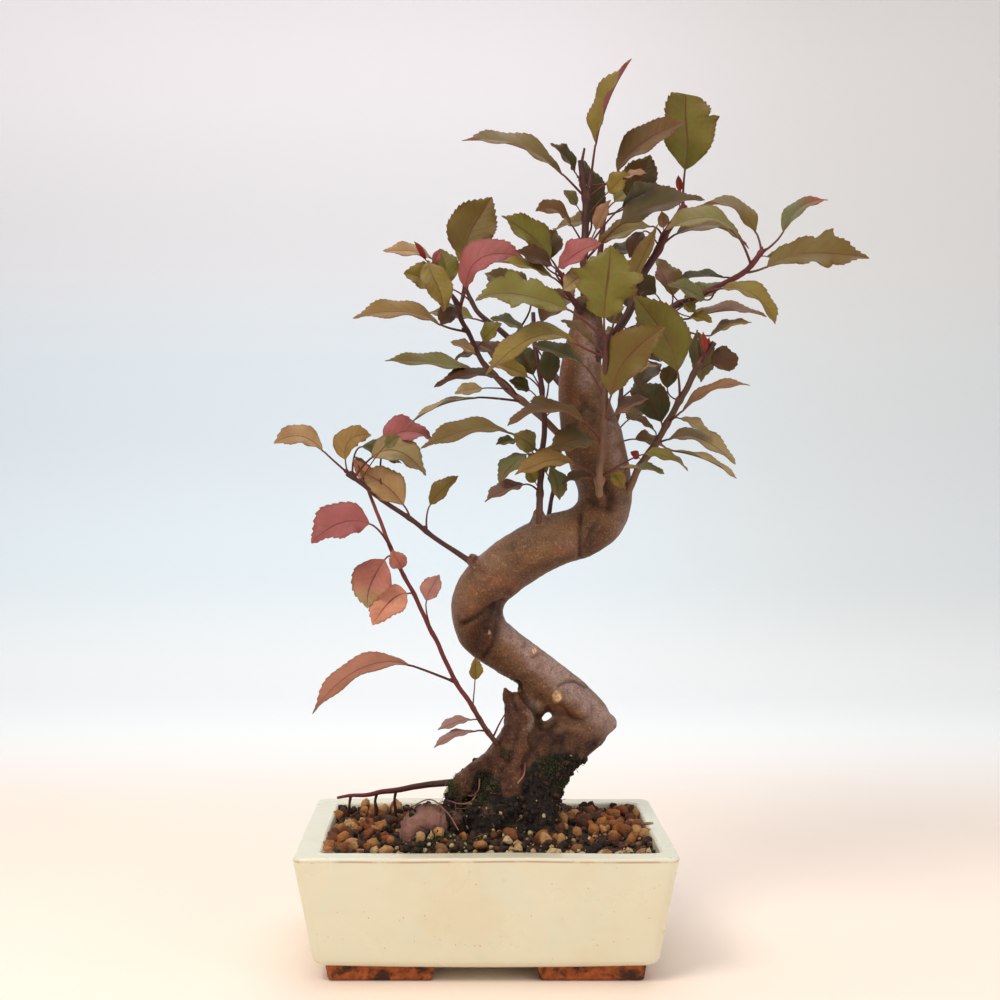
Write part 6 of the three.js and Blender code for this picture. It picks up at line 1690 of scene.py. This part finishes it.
# Blades are strips drawn along the ribs, then shaped point by point; the rest become tubes
def makeShootTree():
    tree, given, result = geometryTree("leafyShoot", shootSizes)
    isBlade = calc("GREATER_THAN", field("part", "INT"), 0.5)
    parted = geo("SeparateGeometry", {"Geometry": given["Geometry"], "Selection": isBlade}, domain="POINT")
    twigs = parted.node.outputs[1]

    ribs = geo("ResampleCurve", {
        "Curve": geo("MeshToCurve", {"Mesh": parted}), "Count": field("rings", "INT")})
    place = geo("SplineParameter")
    outline = mixField(field("lobes"), curveField(place, blade["outline"]), curveField(place, blade["lobed"]))
    outline = mixField(field("broad"), outline, curveField(place, blade["broad"]))
    reach = times(times(field("wide"), 0.5), outline)
    onward = geo("InputTangent")
    up = vectorField("up")
    lean = scaled(onward, calcVector("DOT_PRODUCT", up, onward, output=1))
    upward = calcVector("NORMALIZE", calcVector("SUBTRACT", up, lean))
    ribs = storeField(storeField(ribs, "along", place), "reach", reach)
    for name, value in (("onward", onward), ("sideways", calcVector("CROSS_PRODUCT", onward, upward)),
                        ("upward", upward), ("centre", geo("InputPosition"))):
        ribs = storeField(ribs, name, value, "FLOAT_VECTOR")
    strip = geo("CurvePrimitiveLine", {"Start": (-0.001, 0.0, 0.0), "End": (0.001, 0.0, 0.0)})
    strip = geo("ResampleCurve", {"Curve": strip, "Count": given["Blade columns"]})
    strip = storeField(strip, "across", timesPlus(geo("SplineParameter"), 2.0, -1.0))
    sheet = geo("CurveToMesh", {"Curve": ribs, "Profile Curve": strip})

    along, across, reach, fold = [field(name) for name in ("along", "across", "reach", "fold")]
    out, hand = calc("ABSOLUTE", across), calc("SIGN", across)
    onLeft = calc("LESS_THAN", across, 0.0)
    saw = calc("FRACT", plus(times(along, field("teeth")), timesPlus(onLeft, 0.5, 0.02)))
    inner = times(between(along, 0.04, 0.16), between(along, 1.0, 0.9))
    share = times(calc("DIVIDE", field("wide"), 0.022), inner)
    tooth = times(times(minus(saw, 0.35), given["Tooth depth"]), times(calc("POWER", out, 9.0), share))
    spread = plus(times(reach, out), tooth)
    lateral = times(times(spread, calc("COSINE", fold)), hand)
    raised = times(spread, calc("SINE", fold))
    edge = calc("POWER", out, 2.0)
    cup = times(times(edge, reach), given["Cup"])
    phase = plus(times(along, 15.0), plus(field("seed"), times(hand, 1.3)))
    ruffle = times(times(calc("SINE", phase), given["Ruffle"]), times(edge, share))
    slope = calc("DIVIDE", times(out, reach), field("long"))
    veins = times(minus(along, times(slope, 0.8)), given["Vein pairs"])
    cell = calc("FRACT", plus(veins, 8.0))
    pillow = times(times(cell, minus(1.0, cell)), 4.0)
    puff = times(times(between(out, 0.0, 0.25), between(out, 1.0, 0.7)), times(inner, given["Quilting"]))
    height = plus(minus(raised, cup), plus(ruffle, times(pillow, puff)))
    spot = vectorField("centre")
    for name, amount in (("sideways", lateral), ("upward", height), ("onward", times(tooth, 0.9))):
        spot = added(spot, scaled(vectorField(name), amount))
    sheet = geo("SetPosition", {"Geometry": storeField(sheet, "veins", veins), "Position": spot})
    sheet = storeField(sheet, "underside", 0.0)
    down = scaled(vectorField("upward"), times(given["Blade thickness"], -1.0))
    thick = geo("ExtrudeMesh", {
        "Mesh": sheet, "Offset": down, "Offset Scale": 1.0, "Individual": False}, mode="FACES").node.outputs
    lower = storeField(thick[0], "underside", 1.0, selection=thick[1])
    lower = geo("SetShadeSmooth", {
        "Geometry": geo("FlipFaces", {"Mesh": lower}), "Selection": thick[2], "Shade Smooth": False})
    blades = geo("MergeByDistance", {"Geometry": joined([sheet, lower]), "Distance": 0.000004})
    blades = geo("SetMaterial", {"Geometry": blades, "Material": given["Blade material"]})

    twigs = geo("SetCurveRadius", {"Curve": geo("MeshToCurve", {"Mesh": twigs}), "Radius": field("thick")})
    ring = geo("CurvePrimitiveCircle", {"Resolution": given["Twig sides"], "Radius": 1.0})
    tubes = geo("CurveToMesh", {"Curve": twigs, "Profile Curve": ring, "Fill Caps": True})
    if "Scale" in tubes.node.inputs:
        feed(field("thick"), tubes.node.inputs["Scale"])
    whole = joined([setMaterial(tubes, given["Twig material"]), blades])
    feed(geo("RealizeInstances", {"Geometry": whole}), result)
    return tree


def makeLeafMaterial():
    material, shader, place = startMaterial("appleLeaf", Specular_IOR_Level=0.22)
    along, across, veins = [readValue(name) for name in ("along", "across", "veins")]
    under = readValue("underside")
    out = calc("ABSOLUTE", across)
    upper, lower, end = [readValue(name, "Color") for name in ("tone", "lower", "end")]
    colour = blend(between(along, 0.45, 1.0), upper, end)
    cloudy = patches(place, 95.0, 0.38, 0.66, 5.0)
    colour = over(colour, tones["blush"], cloudy, 0.25)
    rim = times(between(out, 0.82, 1.0), 0.5)
    colour = over(colour, tones["blush"], rim)
    cell = calc("FRACT", plus(veins, 8.0))
    fromVein = calc("ABSOLUTE", minus(cell, 0.5))
    vein = times(between(fromVein, 0.44, 0.5), between(out, 0.95, 0.6))
    midrib = between(out, 0.055, 0.02)
    mesh = addNode("ShaderNodeTexVoronoi", {"Vector": place, "Scale": 1500.0}, feature="DISTANCE_TO_EDGE")
    net = between(mesh.outputs["Distance"], 0.08, 0.0)
    lines = larger(times(vein, 0.32), times(net, 0.1))
    paleVein = added(scaled(colour, 0.9), (0.05, 0.032, 0.012))
    colour = blend(lines, colour, paleVein)
    colour = over(colour, tones["stalkPink"], midrib, 0.75)
    colour = blend(under, colour, blend(times(lines, 1.3), lower, scaled(lower, 0.7)))
    feed(colour, shader["Base Color"])
    feed(timesPlus(under, 0.15, 0.5), shader["Roughness"])
    relief = minus(times(cloudy, 0.2), plus(times(vein, 0.5), times(net, 0.12)))
    bumpOf(shader, relief, 0.00028, 0.8)
    return material


def makeTwigMaterial():
    material, shader, place = startMaterial("appleTwig", Roughness=0.55, Specular_IOR_Level=0.3)
    tone = readValue("tone", "Color")
    cloudy = patches(place, 260.0, 0.35, 0.7)
    colour = blend(times(cloudy, 0.4), tone, scaled(tone, 0.45))
    colour = over(colour, tones["twigPore"], specks(place, 520.0, 0.3, 0.12), 0.6)
    feed(colour, shader["Base Color"])
    bumpOf(shader, clouds(place, 900.0, 3.0), 0.0004, 0.5)
    return material


shootSizes = {**blade["sizes"], "Blade material": makeLeafMaterial(), "Twig material": makeTwigMaterial()}
shootTree = makeShootTree()


# The paths of one piece become its mesh of blades and tubes
def growPiece(paths, node):
    piece = paths.toObject(node + "_grown")
    runTree(piece, shootTree, shootSizes)
    setPiece(piece, [node])
    return len(piece.data.polygons)


def makeSpray(name, spray, number):
    draw = np.random.default_rng(100 + number)
    paths = Paths()
    stems = [smoothPath(seen(stations), np.linspace(0, 1, 60)) for stations in spray["stems"]]
    feet = [addLeaf(paths, row, stems, draw) for row in spray["leaves"]]
    for stations in spray["stems"]:
        addStem(paths, stations, spray["tones"], feet, cutEnd=stations[-1][3] > 1.3)
    return growPiece(paths, name)


def makeShoot():
    paths = Paths()
    addStem(paths, shoot["bareStations"], "stemBrown stemDark stemRed")
    for stations in shoot["rootlets"]:
        addStem(paths, stations, "stemDark earthy")
    for stations in shoot["hairRoots"]:
        addStem(paths, stations, "stemRed hairRoot")
    addStem(paths, shoot["dryBit"], "stemBrown beige")
    growPiece(paths, "base_shoot")


makeShoot()
total = sum(makeSpray(name, spray, number) for number, (name, spray) in enumerate(sprays.items()))
print("leafy stems made,", total, "faces")
